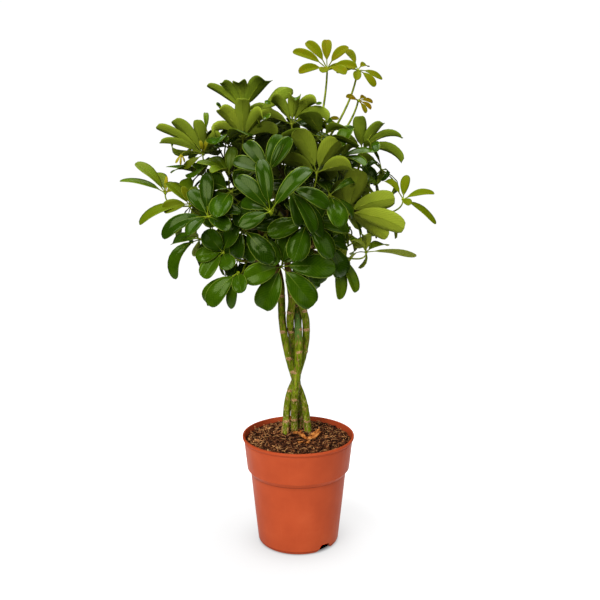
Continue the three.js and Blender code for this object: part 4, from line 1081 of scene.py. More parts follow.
def blade_points(blade, share, across):
    """Points of the blade's middle surface, at shares of its length and distances across it."""
    lift = blade["arch"] * 4 * share * (1 - share)
    return (blade["hub"] + np.multiply.outer(share, blade["reach"])
            + np.multiply.outer(lift, blade["normal"]) + np.multiply.outer(across, blade["side"]))


blade_grids = {}


def blade_samples(blade):
    """Points all over a blade, a cell or less apart, from clear of the hub to the tip."""
    width = blade["width"]
    if width not in blade_grids:
        grid = []
        for share in BLADE_SAMPLES:
            beyond = (share - STALK_SHARE) / (1 - STALK_SHARE)
            half = half_width(min(beyond, 0.999), width)
            rows = max(1, math.ceil(half / CELL))
            grid += [(share, (half * k) / rows) for k in range(-rows, rows + 1)]
        blade_grids[width] = np.array(grid).T
    return blade_points(blade, *blade_grids[width])


def make_blade(leaf, reach, width):
    along = unit(reach)
    normal = unit(leaf["facing"] + along * -leaf["facing"].dot(along))
    return {"hub": leaf["hub"], "reach": reach, "normal": normal, "side": np.cross(along, normal),
            "width": width, "arch": length(reach) * BLADE_ARCH}


def lay_blade(leaf, tip):
    """A leaflet near its wanted tip, turned in small steps until it is clear of other leaves."""
    tilt = unit(np.cross(unit(tip), leaf["facing"]))
    for scale in BLADE_SCALES:
        for swing, lift in BLADE_TURNS:
            reach = turned(turned(tip * scale, tilt, lift), leaf["facing"], swing)
            blade = make_blade(leaf, reach, leaf["width"] * scale)
            if crowded(blade_samples(blade), leaf["owner"]) == 0:
                return blade
    return None


def lay_blades(leaf):
    """The leaflets of a leaf, turned about its hub to the place where most of them are clear."""
    best = []
    for turn in leaf["turns"]:
        tips = [turned(tip, leaf["facing"], turn) for tip in leaf["tips"]]
        blades = [blade for blade in (lay_blade(leaf, tip) for tip in tips) if blade]
        if len(blades) > len(best):
            best = blades
    return best if len(best) >= FEWEST_BLADES else []


seed = 7


def chance():
    """The next of a fixed row of random numbers from 0 to 1."""
    global seed
    seed = (seed * 1664525 + 1013904223) % 4294967296
    return seed / 4294967296


def nearest_shoot(hub):
    return min(SHOOTS, key=lambda name: length(np.array(SHOOTS[name][2], float) - hub))


def ring_of_tips(facing, count, turn, droop):
    """Tips of a ring of leaflets about a hub, all drooping a little below its face."""
    across = unit(RIGHT + facing * -facing[0])
    other = np.cross(facing, across)
    low = math.radians(droop)
    tips = []
    for k in range(count):
        angle = math.radians(turn + (360 * k) / count)
        level = across * math.cos(angle) + other * math.sin(angle)
        tip = level * math.cos(low) + facing * -math.sin(low)
        tips.append(tip * (RING_LEAF_LENGTH * (RING_LENGTHS[0] + RING_LENGTHS[1] * chance())))
    return tips


def rule_leaf(hub, facing, count, age):
    """A leaf placed by rule, with a ring of leaflets."""
    turn = 360 * chance()
    droop = RING_DROOPS[0] + RING_DROOPS[1] * chance()
    return {"shoot": nearest_shoot(hub), "hub": hub, "facing": facing, "width": RING_LEAF_WIDTH,
            "tips": ring_of_tips(facing, count, turn, droop), "turns": RING_TURNS, "age": age,
            "front": False}


leaves = [
    {"shoot": shoot, "hub": np.array(hub, float), "facing": unit(np.array(facing, float)),
     "width": width, "tips": [np.array(tip, float) for tip in tips], "turns": FRONT_TURNS,
     "age": age, "front": True}
    for shoot, hub, facing, width, age, tips in FRONT_LEAVES
]
for ring_height, first_turn, last_turn, ring_count in BACK_RINGS:
    level = math.sqrt(1 - ring_height * ring_height)
    for i in range(ring_count):
        share = i / (ring_count - 1) if ring_count > 1 else 0.5
        spread = RING_TURN_SPREAD * (chance() - 0.5)
        turn = math.radians((1 - share) * first_turn + share * last_turn + spread)
        depth = RING_DEPTHS[0] + RING_DEPTHS[1] * chance()
        outward = np.array((
            CROWN_REACH[0] * level * math.cos(turn) * depth,
            CROWN_REACH[1] * level * math.sin(turn) * depth,
            CROWN_REACH[2] * ring_height * depth,
        ))
        leaves.append(rule_leaf(
            CROWN_CENTRE + outward,
            unit(unit(outward) * BACK_LEAF_OUTWARD + UP * BACK_LEAF_UPWARD), BACK_LEAFLETS,
            0.6 + 0.3 * math.sin(5.0 * i + 9.0 * ring_height)))
for i, (hub, facing) in enumerate(MIDDLE_LEAVES):
    leaves.append(rule_leaf(
        np.array(hub, float), unit(np.array(facing, float)), MIDDLE_LEAFLETS,
        0.8 + 0.15 * math.sin(4.0 * i)))

for line in stem_lines.values():
    core = [
        curve_point(line, i / CORE_STEPS) + np.array((x * STEM_CORE, y * STEM_CORE, 0.0))
        for i in range(CORE_STEPS + 1) for x, y in ((0, 0), (1, 0), (-1, 0), (0, 1), (0, -1))
    ]
    take(core, SHARED)
shoots = {}
for shoot_name, (stem_name, leave_height, tip) in SHOOTS.items():
    line = stem_lines[stem_name]
    start = min(
        [curve_point(line, 1.0)]
        + [curve_point(line, i / LEAVE_STEPS) for i in range(LEAVE_STEPS + 1)],
        key=lambda point: abs(point[2] - leave_height),
    )
    end = np.array(tip, float)
    by = start + (end - start) * 0.5 + UP * (-SHOOT_SAG * length(end - start))
    shoots[shoot_name] = {"bow": (start, by, end), "leaves": []}
    take(bow_samples((start, by, end)), SHARED)
for owner, leaf in enumerate(leaves, 1):
    leaf["owner"] = owner
    shoot = shoots[leaf["shoot"]]
    share = max(LAST_PETIOLE_SHARE, FIRST_PETIOLE_SHARE - PETIOLE_SPACING * len(shoot["leaves"]))
    shoot["leaves"].append(leaf)
    leaf["petiole"] = lay_petiole(leaf, bow_point(shoot["bow"], share))
    take(bow_samples(leaf["petiole"]), owner)
for leaf in leaves:
    leaf["blades"] = lay_blades(leaf)
    for blade in leaf["blades"]:
        take(blade_samples(blade), leaf["owner"])

# Leaves deep in the crown that close the gaps between the others: hub, and the way the upper face
# looks. They are laid last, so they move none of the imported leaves.
INNER_LEAVES = [
    ((-113, 22, 672), (-0.1, -0.6, 0.8)), ((-124, 12, 630), (-0.1, -0.7, 0.7)),
    ((-150, 6, 640), (-0.3, -0.5, 0.8)), ((-98, -6, 492), (-0.1, -0.8, 0.5)),
    ((-24, 30, 616), (0, -0.8, 0.6)), ((28, 34, 616), (0.1, -0.8, 0.6)),
    ((4, 22, 545), (0, -0.9, 0.4)), ((-90, 16, 534), (-0.1, -0.8, 0.5)),
    ((38, 46, 700), (0, -0.6, 0.8)), ((84, 14, 542), (0.1, -0.8, 0.5)),
    ((-60, 40, 676), (0, -0.7, 0.7)), ((66, 20, 640), (0.1, -0.8, 0.6)),
    ((-128, -14, 664), (-0.2, -0.7, 0.6)), ((-108, 50, 690), (0, -0.7, 0.7)),
    ((-120, 45, 640), (-0.1, -0.8, 0.6)), ((-104, -30, 652), (0, -0.8, 0.6)),
    ((-138, -20, 622), (-0.2, -0.7, 0.6)), ((-106, -24, 606), (0, -0.9, 0.4)),
    ((-160, 20, 610), (-0.3, -0.7, 0.6)), ((24, 0, 600), (0, -0.9, 0.4)),
    ((30, 60, 650), (0, -0.8, 0.6)), ((-10, 4, 574), (0, -0.9, 0.4)),
    ((100, 30, 650), (0.1, -0.7, 0.7)), ((-20, 70, 700), (0, -0.5, 0.8)),
    ((40, 90, 700), (0, -0.2, 0.9)), ((-70, 90, 690), (0, -0.2, 0.9)),
]
INNER_LEAF_SHARE = 0.72
INNER_LEAFLETS = 7
INNER_PETIOLE_SHARE = 0.6
inner_leaves = {name: [] for name in shoots}
for owner, (hub, facing) in enumerate(INNER_LEAVES, len(leaves) + 1):
    leaf = rule_leaf(np.array(hub, float), unit(np.array(facing, float)), INNER_LEAFLETS, 0.95)
    leaf["owner"] = owner
    leaf["width"] = RING_LEAF_WIDTH * INNER_LEAF_SHARE
    leaf["tips"] = [tip * INNER_LEAF_SHARE for tip in leaf["tips"]]
    shoot = shoots[leaf["shoot"]]
    leaf["petiole"] = lay_petiole(leaf, bow_point(shoot["bow"], INNER_PETIOLE_SHARE))
    leaf["blades"] = [blade for blade in (lay_blade(leaf, tip) for tip in leaf["tips"]) if blade]
    take(bow_samples(leaf["petiole"]), owner)
    for blade in leaf["blades"]:
        take(blade_samples(blade), owner)
    inner_leaves[leaf["shoot"]].append(leaf)

# Leafy shoots
# Each shoot is young wood with leaves on long green stalks. A leaf is a small hub with a ring of
# leaflets, each a leathery obovate blade on a short stalk, waxy above, matt and paler below.

SHOOT_RADIUS = 3.8
SHOOT_TIP_RADIUS = 2.4
PETIOLE_RADIUS = 1.6
PETIOLE_END_RADIUS = 1.15
PETIOLE_FOOT_RADIUS = 2.6
PETIOLE_FOOT_FALL = 12
YOUNG_PETIOLE_STOUTNESS = 1.35
BOW_STEPS = 16
BOW_SHARES = [i / BOW_STEPS for i in range(BOW_STEPS + 1)]
# The hub's rings: how far each is from its middle in half-heights, and its radius
HUB_RADIUS = 2.7
HUB_PLACES = (-1.3, -0.5, 0.5, 1)
HUB_RADII = [1.4, HUB_RADIUS, HUB_RADIUS * 0.9, 1.2]
BLADE_THICKNESS = 0.6
STALK_HALF_WIDTH = 0.8
STALK_ROWS = 2
# How strongly a blade's columns close up by its midrib, and its rows by its tip
COLUMN_POWER = 1.6
ROW_POWER = 1.55
YOUNG_STALK_SHARE = 0.26
YOUNG_UNTIL = 0.1
SOFT_UNTIL = 0.2
YOUNG_SPECULAR_LEVEL = 0.02
MID_LINE_STEPS = 60
CURL_FROM = 0.45
# Powers of the blade's outline towards its foot and its tip, and how much bluntness takes off each
BLADE_RISE = (0.78, 0.14)
BLADE_FALL = (0.5, 0.16)
# Draws of each leaflet: fold along the midrib, waves of the edge, twist in degrees, and sway
BLADE_FOLDS = (0.1, 0.45)
BLADE_WAVES = (0.0, 0.06)
BLADE_TWISTS = (-16, 16)
BLADE_SWAYS = (-0.05, 0.05)
# The rib thins from its foot to its end, a little past the blade's half
RIB_PLACES = np.array([0.0, 0.07, 0.14, 0.22, 0.32, 0.45, 0.6])
RIB_RADII = 0.25 + 0.75 * (1 - RIB_PLACES / 0.6) ** 1.2
RIB_DEPTHS = np.where(RIB_PLACES > 0.1, BLADE_THICKNESS, BLADE_THICKNESS / 2)
FRONT_GRID = (8, 12)
BACK_GRID = (4, 8)
FRONT_WIDTHS = (0.9, 1.05)
BACK_WIDTHS = (1.05, 1.22)
CUPPED_FROM = 650
# Leaflets with a shape of their own, by their leaf's hub and their number: how far the outer half
# curls over, how far it is rolled across, how blunt its end is, how far it leans on its stalk in
# degrees, and its width and its arch as shares of the plain ones
LEAFLET_FORMS = {
    (-152, -60, 534): {0: (0.3, 0.5, 0.3, 55, 0.78, 2.4)},
    (-210, -30, 603): {0: (0.0, 0.2, 0.3, 15, 1.0, 0.8), 1: (0.0, 0.2, 0.3, 10, 1.0, 0.9)},
    (-169, -52, 585): {0: (0.1, 0.3, 0.3, 20, 1.0, 1.2)},
    (-135, -110, 575): {0: (0.1, 0.3, 0.3, 25, 1.0, 1.6)},
    (-148, -36, 664): {0: (0.0, -0.7, 1.0, 0, 0.9, 0.5), 1: (0.1, -0.7, 1.0, 0, 0.8, 0.7),
        2: (0.0, -0.5, 1.0, 0, 1.1, 0.6), 3: (-2.2, 0.4, 0.5, 0, 0.7, 0.5)},
    (-88, 14, 730): {0: (0.2, -0.5, 0.4, 0, 0.6, 0.7), 1: (0.6, -0.9, 0.9, 0, 0.7, 0.8),
        2: (1.1, -0.8, 1.0, 0, 0.9, 1.0), 3: (1.2, -0.4, 1.0, -10, 1.2, 1.0),
        4: (-1.9, 0.4, 0.5, 0, 0.8, 0.6)},
    (-85, -44, 688): {0: (0.3, -0.9, 1.0, 0, 0.95, 1.0), 1: (0.2, -0.6, 1.0, 0, 0.85, 0.8),
        2: (1.5, -1.5, 1.0, 0, 1.0, 1.0), 3: (2.3, -1.2, 1.0, 0, 0.8, 1.0)},
    (-10, -36, 710): {0: (1.5, -1.1, 1.0, 0, 0.85, 1.6), 1: (1.2, -1.2, 1.0, 0, 1.0, 1.3),
        2: (1.0, -1.2, 1.0, 0, 1.0, 1.2), 4: (1.7, -1.3, 1.0, 0, 0.8, 1.0)},
    (102, 0, 668): {0: (0.0, -0.6, 1.0, 0, 0.95, 0.6), 1: (0.3, -0.7, 1.0, 0, 0.95, 0.8),
        2: (0.5, -0.7, 1.0, 0, 0.9, 1.5), 3: (0.4, -0.6, 1.0, 0, 1.0, 2.0)},
    (137, 45, 634): {2: (1.8, 0.9, 0.3, 0, 0.5, 1.0), 3: (2.6, 0.9, 0.3, 0, 0.35, 1.0),
        4: (1.9, 0.9, 0.3, 0, 0.4, 1.0), 5: (1.9, 0.9, 0.3, 0, 0.45, 1.0),
        6: (2.2, 0.9, 0.3, 0, 0.4, 1.0)},
    (126, 11, 583): {1: (2.4, 0.9, 0.3, 0, 0.8, 1.0), 2: (2.6, 0.9, 0.3, 0, 0.7, 1.0)},
    (83, 111, 632): {3: (2.6, 0.9, 0.3, 0, 0.8, 1.0)},
    (48, -92, 606): {3: (2.4, 0.9, 0.3, 0, 0.45, 1.0), 2: (1.2, 0.8, 0.3, 0, 0.5, 1.0)},
    (76, -60, 576): {0: (0.0, -0.2, 0.9, 10, 1.1, 0.8), 1: (0.0, -0.1, 0.9, 30, 0.9, 0.7),
        2: (0.1, -0.2, 0.9, 20, 0.95, 0.9)},
    (108, -40, 510): {0: (-0.1, 0.3, 0.6, 45, 1.0, 0.8), 1: (0.4, -0.8, 0.8, 0, 0.7, 1.0),
        2: (0.9, -0.8, 0.8, 0, 0.8, 1.0), 4: (0.3, 0.4, 0.3, 0, 0.45, 1.0)},
    (101, -11, 526): {0: (0.6, 0.4, 0.3, 0, 0.45, 1.0), 1: (0.6, 0.4, 0.3, 0, 0.6, 1.0)},
    (68, 77, 533): {3: (1.8, 0.4, 0.3, 0, 0.7, 1.0)},
    (165, -40, 594): {2: (0.0, 0.2, 0.0, -10, 1.0, 1.1), 3: (-0.1, 0.2, 0.0, -10, 1.0, 1.15)},
    (-26, -92, 496): {0: (0.0, 0.3, 0.5, 0, 1.0, 1.2), 2: (0.1, 0.3, 0.3, 0, 1.12, 1.0),
        3: (0.0, 0.2, 0.8, 0, 1.1, 1.0), 4: (0.1, 0.2, 0.8, 0, 1.15, 1.0)},
    (-91, -112, 490): {0: (0.1, 0.3, 0.4, 0, 1.15, 1.2), 3: (0.1, 0.9, 0.0, 20, 0.7, 1.2)},
    (61, -34, 509): {0: (0.0, 0.1, 0.6, 0, 0.95, 0.8), 1: (0.0, 0.1, 0.6, 0, 0.9, 0.8)},
}
# Dried and stunted leaflets, from their feet to their tips, with their width, and how dried
SMALL_LEAFLETS = {
    "shoot_far_left": [
        ((-208, -31, 605), (-194, -36, 620), 8, 1.0), ((-209, -31, 605), (-205, -38, 630), 6, 0.9),
        ((-207, -31, 604), (-188, -38, 610), 6, 0.8),
        ((-168, -52, 588), (-181, -58, 615), 12, 0.25),
        ((-168, -52, 588), (-160, -60, 617), 14, 0.1),
    ],
    "shoot_upper_left": [
        ((-182, -40, 664), (-190, -42, 650), 4, 1.0), ((-182, -40, 664), (-183, -43, 647), 4, 0.9),
        ((-182, -40, 664), (-175, -41, 651), 4, 1.0), ((-147, -38, 667), (-138, -46, 690), 7, 0.7),
        ((-149, -38, 667), (-150, -48, 686), 6, 0.8), ((-146, -2, 700), (-145, 0, 732), 9, 0.0),
        ((-150, -36, 662), (-178, -30, 640), 12, 0.2),
    ],
}
# Leaflets that stand apart from the rings: foot, tip before it is bent, the way the upper face
# looks, width, how far the outer half curls over, and age
ARCHED_LEAFLETS = {
    "shoot_top_left": [((-66, -2, 726), (-12, -2, 786), (0.4, 0.8, -0.35), 27, -2.2, 0.75)],
    "shoot_top": [((-8, -4, 712), (-30, -4, 764), (-0.5, 0.8, -0.3), 19, -0.9, 0.6)],
    "shoot_far_left": [((-171, -50, 588), (-211, -54, 579), (0.1, -0.8, 0.5), 22, 0.3, 0.12)],
}
SMALL_LEAFLET_FACING = (0.1, -0.8, 0.6)
SMALL_LEAFLET_AGE = 0.35
# Thin bare stalks that carry some of the dried ones: start, by way of, end
SMALL_STALKS = {
    "shoot_upper_left": [
        ((-149, -36, 663), (-172, -38, 676), (-182, -40, 663)),
        ((-118, 0, 640), (-134, -4, 668), (-146, -2, 702)),
    ],
}
SMALL_STALK_RADIUS = 0.8
# Painted shade: leaves are painted darker the nearer they lie to a point near the crown's middle,
# for the shade of its outer leaves
SHADE_CENTRE = CROWN_CENTRE + np.array((-20.0, 5.0, 8.0))
SHADE_REACH = np.array((175.0, 165.0, 125.0))
SHADE_FROM = 0.45
DEEPEST_SHADE = 0.95


def start_leaf_face(name, cloud_size, stops, shade_colour):
    """One face of a leaf blade, before its veins are drawn: its material and tree, its place on the
    plant, its age, its colour, the way from the midrib, the way along it, and its side veins."""
    face, tree = new_material(name)
    object_place = add_node(tree, "TexCoord", output="Object")
    age, dried, shade = add_node(tree, "SeparateColor", {
        "Color": add_node(tree, "Attribute", {"attribute_name": "leaf"}),
    }, "all")
    across, along, _ = add_node(tree, "SeparateXYZ", {
        "Vector": add_node(tree, "UVMap", {"uv_map": "UVMap"}),
    }, "all")
    clouds = add_node(tree, "TexNoise", {"Vector": object_place, **cloud_size})
    clouds = add_node(tree, "Math", {"operation": "MULTIPLY_ADD", 0: clouds, 1: 0.24, 2: -0.12})
    aged = add_node(tree, "Math", {"operation": "ADD", 0: age, 1: clouds})
    colour = add_node(tree, "ValToRGB", {"Fac": aged, "stops": stops})
    # Leaves deep in the crown get painted shade
    for share, over in ((dried, "#978a10"), (shade, shade_colour)):
        colour = add_node(tree, "Mix", {"data_type": "RGBA", 0: share, 6: colour, 7: over}, 2)
    from_midrib = add_node(tree, "Math", {"operation": "SUBTRACT", 0: across, 1: 0.5})
    from_midrib = add_node(tree, "Math", {"operation": "ABSOLUTE", 0: from_midrib})
    # Side veins leave the midrib at a slant, about 5 mm apart
    veins = add_node(tree, "Math", {
        "operation": "MULTIPLY_ADD", 0: from_midrib, 1: -0.55, 2: along,
    })
    veins = add_node(tree, "Math", {"operation": "MULTIPLY", 0: veins, 1: 88.0})
    veins = add_node(tree, "Math", {"operation": "SINE", 0: veins})
    return face, tree, object_place, age, colour, from_midrib, along, veins


# Leaf blade seen from above: dark green under a clear waxy cuticle, yellow-green while it is
# young, with a pale midrib in a shallow groove, faint side veins, and a thin painted highlight
# along its edge.
waxy_leaf, tree, object_place, age, colour, from_midrib, along, veins = start_leaf_face(
    "waxy_leaf_upper_face", {"Scale": 80.0, "Detail": 1.0}, [
        (0.0, "#6a5002"), (0.1, "#605802"), (0.17, "#565c01"), (0.38, "#506103"), (0.58, "#3b5703"),
        (0.8, "#243f02"), (1.0, "#182f01"),
    ], "#0b1601")
# The midrib is drawn 2 mm wide, twice its width, so that it shows
midrib = add_node(tree, "MapRange", {
    "Value": from_midrib, "From Min": 0.008, "From Max": 0.03, "To Min": 1.0, "To Max": 0.0,
})
midrib_fade = add_node(tree, "MapRange", {
    "Value": along, "From Min": 0.1, "From Max": 0.62, "To Min": 0.48, "To Max": 0.0,
})
pale_and_highlight_share = add_node(tree, "Math", {"operation": "MULTIPLY", 0: midrib, 1: midrib_fade})
vein_share = add_node(tree, "MapRange", {"Value": veins, "From Min": 0.75, "To Max": 0.07})
# A painted highlight along the blade's edge
rim_highlight_share = add_node(tree, "MapRange", {
    "Value": from_midrib, "From Min": 0.458, "From Max": 0.478, "To Max": 0.5,
})
for share in (vein_share, rim_highlight_share):
    pale_and_highlight_share = add_node(tree, "Math", {"operation": "MAXIMUM", 0: pale_and_highlight_share, 1: share})
colour = add_node(tree, "Mix", {"data_type": "RGBA", 0: pale_and_highlight_share, 6: colour, 7: "#8c9f38"}, 2)
# Young leaves are softer and less glossy
gloss = add_node(tree, "MapRange", {
    "Value": age, "From Min": 0.2, "From Max": 0.7, "To Min": 0.6, "To Max": 0.16,
})
# The face is rippled, and sinks along its midrib and its veins
height = add_node(tree, "TexNoise", {"Vector": object_place, "Scale": 90.0, "Detail": 2.0})
for sunk, depth in ((midrib, -0.35), (vein_share, -0.4)):
    height = add_node(tree, "Math", {"operation": "MULTIPLY_ADD", 0: sunk, 1: depth, 2: height})
bump = add_node(tree, "Bump", {"Height": height, "Strength": 0.22, "Distance": 0.0012})
add_node(tree, "OutputMaterial", {"Surface": add_node(tree, "BsdfPrincipled", {
    "Base Color": colour, "Roughness": gloss, "Normal": bump, "IOR": 1.45,
    "Specular IOR Level": 0.15, "Specular Tint": (0.8, 1.0, 0.4, 1.0),
})})

# The same blade from below: no wax, so it is matt, with a raised rib. It is paler and more yellow,
# partly its own colour and partly painted light that shines through the blade.
matt_leaf, tree, object_place, age, colour, from_midrib, along, veins = start_leaf_face(
    "matt_leaf_underside", {"Scale": 70.0, "Detail": 3.0}, [
        (0.03, "#6b5a04"), (0.17, "#737208"), (0.45, "#7a8622"), (0.7, "#6a791e"), (1.0, "#526612"),
    ], "#1a2404")
vein_share = add_node(tree, "MapRange", {"Value": veins, "From Min": 0.6, "To Max": 0.3})
rib_share = add_node(tree, "MapRange", {
    "Value": from_midrib, "From Min": 0.01, "From Max": 0.035, "To Min": 0.45, "To Max": 0.0,
})
line_share = add_node(tree, "Math", {"operation": "MAXIMUM", 0: vein_share, 1: rib_share})
colour = add_node(tree, "Mix", {"data_type": "RGBA", 0: line_share, 6: colour, 7: "#55660a"}, 2)
# Raised rib and veins, and a fine quilting between them
quilting = add_node(tree, "TexNoise", {"Vector": object_place, "Scale": 260.0, "Detail": 2.0})
height = add_node(tree, "Math", {
    "operation": "MULTIPLY_ADD", 0: line_share, 1: 1.6, 2: quilting,
})
bump = add_node(tree, "Bump", {"Height": height, "Strength": 0.4, "Distance": 0.0012})
add_node(tree, "OutputMaterial", {"Surface": add_node(tree, "BsdfPrincipled", {
    "Base Color": colour, "Normal": bump, "Roughness": 0.6, "IOR": 1.4,
    "Specular IOR Level": 0.1, "Specular Tint": (1.0, 1.0, 0.3, 1.0),
})})

# Young leaves have the same two faces before their wax has formed, so hardly any sheen
soft_leaf = waxy_leaf.copy()
soft_leaf.name = "young_leaf_upper_face"
soft_underside = matt_leaf.copy()
soft_underside.name = "young_leaf_underside"
for material in (soft_leaf, soft_underside):
    for node in material.node_tree.nodes:
        if node.type == "BSDF_PRINCIPLED":
            node.inputs["Specular IOR Level"].default_value = YOUNG_SPECULAR_LEVEL

# Stalks: smooth and yellow-green on the leaves, browner on the shoots they leave.
green_stalk, tree = new_material("green_stalk_skin")
object_place = add_node(tree, "TexCoord", output="Object")
_, woody, shade = add_node(tree, "SeparateColor", {
    "Color": add_node(tree, "Attribute", {"attribute_name": "leaf"}),
}, "all")
clouds = add_node(tree, "TexNoise", {"Vector": object_place, "Scale": 150.0, "Detail": 2.0})
colour = add_node(tree, "ValToRGB", {
    "Fac": clouds, "stops": [(0.35, "#5a6a0a"), (0.5, "#75840f"), (0.65, "#919c2a")],
})
brown = add_node(tree, "ValToRGB", {
    "Fac": clouds, "stops": [(0.35, "#3d2a14"), (0.5, "#6a4c2a"), (0.65, "#7c7134")],
})
# Stalks go brown where woody, and get painted shade deep in the crown
for share, over in ((woody, brown), (shade, "#161203")):
    colour = add_node(tree, "Mix", {"data_type": "RGBA", 0: share, 6: colour, 7: over}, 2)
add_node(tree, "OutputMaterial", {"Surface": add_node(tree, "BsdfPrincipled", {
    "Base Color": colour, "Roughness": 0.45, "IOR": 1.42, "Specular IOR Level": 0.08,
})})


def paint_leaf(piece, age, dried):
    """Stores on a piece's points how old it is, how woody or dried, and how deep in the crown's
    painted shade.
    """
    depth = np.linalg.norm((places_of(piece.data) / MM - SHADE_CENTRE) / SHADE_REACH, axis=1)
    shade = DEEPEST_SHADE * (1 - np.clip((depth - SHADE_FROM) / (1 - SHADE_FROM), 0, 1) ** 2)
    same = np.ones(len(shade))
    colours = np.stack((same * (age + 0.2) / 1.2, same * dried, shade, same), axis=1)
    return paint(piece, "leaf", colours)


def leaflet_template(columns, rows, upper_face, underside):
    """A flat closed blade from -1 to 1 across, with its rows at their shares of the length and
    its own UV map: U runs across it and V along it."""
    piece = new_primitive(
        bpy.ops.mesh.primitive_grid_add, x_subdivisions=columns, y_subdivisions=rows, size=2)
    piece.data.materials.append(upper_face)
    piece.data.materials.append(underside)
    for vertex in piece.data.vertices:
        # The columns stand closer by the midrib, for its groove
        vertex.co.x = math.copysign(abs(vertex.co.x) ** COLUMN_POWER, vertex.co.x)
        row = (vertex.co.y + 1) / 2 * rows
        if row <= STALK_ROWS:
            vertex.co.y = STALK_SHARE * row / STALK_ROWS
        else:
            beyond = (row - STALK_ROWS) / (rows - STALK_ROWS)
            vertex.co.y = STALK_SHARE + (1 - STALK_SHARE) * (1 - (1 - beyond) ** ROW_POWER)
    for loop, corner_uv in zip(piece.data.loops, piece.data.uv_layers[0].data):
        place = piece.data.vertices[loop.vertex_index].co
        corner_uv.uv = ((place.x + 1) / 2, place.y)
    piece.data.uv_layers[0].name = "UVMap"
    apply_modifier(piece, "SOLIDIFY", {
        "thickness": 1, "offset": -1, "material_offset": 1, "material_offset_rim": 1,
    })
    bpy.ops.object.shade_smooth()
    mesh = piece.data
    bpy.data.objects.remove(piece)
    return mesh, places_of(mesh)


def mid_line(blade, curl, arch_share, sway, shares):
    """The line along the middle of a blade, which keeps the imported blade's arch up to its half
    and bends on from there by the curl: its points, and the way up from the blade at each."""
    steps = np.linspace(0, 1, MID_LINE_STEPS + 1)
    bend = curl * np.clip((steps - CURL_FROM) / (1 - CURL_FROM), 0, 1) ** 1.4
    forth = length(blade["reach"])
    rise = 4 * arch_share * blade["arch"] * (1 - 2 * steps)
    ahead = forth * np.cos(bend) + rise * np.sin(bend)
    upward = -forth * np.sin(bend) + rise * np.cos(bend)
    slope = np.interp(shares, steps, np.arctan2(upward, ahead))
    along = blade["reach"] / forth
    points = blade["hub"]
    for speed, direction in ((ahead, along), (upward, blade["normal"])):
        way = np.concatenate(([0], np.cumsum((speed[1:] + speed[:-1]) / 2))) / MID_LINE_STEPS
        points = points + np.multiply.outer(np.interp(shares, steps, way), direction)
    points = points + np.multiply.outer(sway * forth * shares ** 2, blade["side"])
    up = np.multiply.outer(np.cos(slope), blade["normal"]) - np.multiply.outer(np.sin(slope), along)
    return points, up


def shape_leaflet(template, blade, age, dried, form, draw):
    """A leaflet laid on its blade: bent along its length, rolled across it and a little wavy."""
    mesh, flat = template
    curl, roll, blunt, lean, width_share, arch_share = form
    across, share, depth = flat[:, 0], flat[:, 1], -flat[:, 2]
    stalk_share = YOUNG_STALK_SHARE if age < YOUNG_UNTIL else STALK_SHARE
    beyond = np.clip((share - stalk_share) / (1 - stalk_share), 0, 1)
    rise_power = BLADE_RISE[0] - BLADE_RISE[1] * blunt
    fall_power = BLADE_FALL[0] - BLADE_FALL[1] * blunt
    widest = rise_power / (rise_power + fall_power)
    plan = beyond ** rise_power * (1 - beyond) ** fall_power
    half = width_share * blade["width"] / 2 * plan / (
        widest ** rise_power * (1 - widest) ** fall_power)
    half = np.where(beyond < 0.3, np.maximum(half, STALK_HALF_WIDTH), half)
    fold = draw.uniform(*BLADE_FOLDS)
    wave = draw.uniform(*BLADE_WAVES)
    phase = draw.uniform(0, 2 * math.pi)
    roll = roll + 0.01
    taper = 0.55 + 0.45 * share
    turn = roll * taper * across
    level = half * np.sin(turn) / roll / taper
    drop = half * (1 - np.cos(turn)) / roll / taper
    lift = half * (fold * np.abs(across)
                   + wave * across ** 2 * np.sin(9 * share + phase + 2 * np.sign(across))) - drop
    twist = math.radians(draw.uniform(*BLADE_TWISTS)) * (share - 0.35)
    twist += math.radians(lean) * np.clip(4 * share, 0, 1)
    side_move = level * np.cos(twist) - lift * np.sin(twist)
    up_move = level * np.sin(twist) + lift * np.cos(twist)
    points, up = mid_line(blade, curl, arch_share, draw.uniform(*BLADE_SWAYS), share)
    places = points + np.multiply.outer(
        side_move - BLADE_THICKNESS * depth * np.sin(turn), blade["side"])
    places += (up_move - BLADE_THICKNESS * depth * np.cos(turn))[:, None] * up
    piece = new_copy(mesh)
    piece.data.vertices.foreach_set("co", (places * MM).ravel())
    return paint_leaf(piece, age, dried)


def bow_line(bow):
    return [bow_point(bow, share) for share in BOW_SHARES]


def lay_stalk(template, centres, radii, age, woody):
    """A stalk along its centres, as a closed tube."""
    return paint_leaf(bent_copy(template, centres, radii), age, woody)


def lone_blade(foot, tip, facing, width):
    """The blade of a leaflet that stands apart from the rings, from its foot to its tip."""
    foot = np.array(foot, float)
    leaf = {"hub": foot, "facing": unit(np.array(facing, float))}
    return make_blade(leaf, np.array(tip, float) - foot, width)


def leaflet_form(leaf, blade, cupped, draw):
    """How a leaflet with no form of its own is bent: curl, roll, bluntness, lean, width, arch."""
    if cupped:
        return (draw.choice((-0.8, 0.6, 1.1, 1.7)), draw.uniform(-1.4, -0.6), 1.0, 0,
                draw.uniform(0.8, 1.05), 1.0)
    if leaf["age"] < YOUNG_UNTIL:
        # Young leaflets turn their faces to the light in front
        lean = -30 * blade["reach"][0] / length(blade["reach"])
        return (draw.uniform(-0.2, 0.2), draw.uniform(-0.4, 0.2), 0.0, lean,
                1.05 if leaf["width"] > 10 else 1.1, 1.0)
    widths = FRONT_WIDTHS if leaf["front"] else BACK_WIDTHS
    return (draw.uniform(-0.2, 0.6), draw.uniform(-0.2, 0.75), 0.3, 0, draw.uniform(*widths), 1.0)


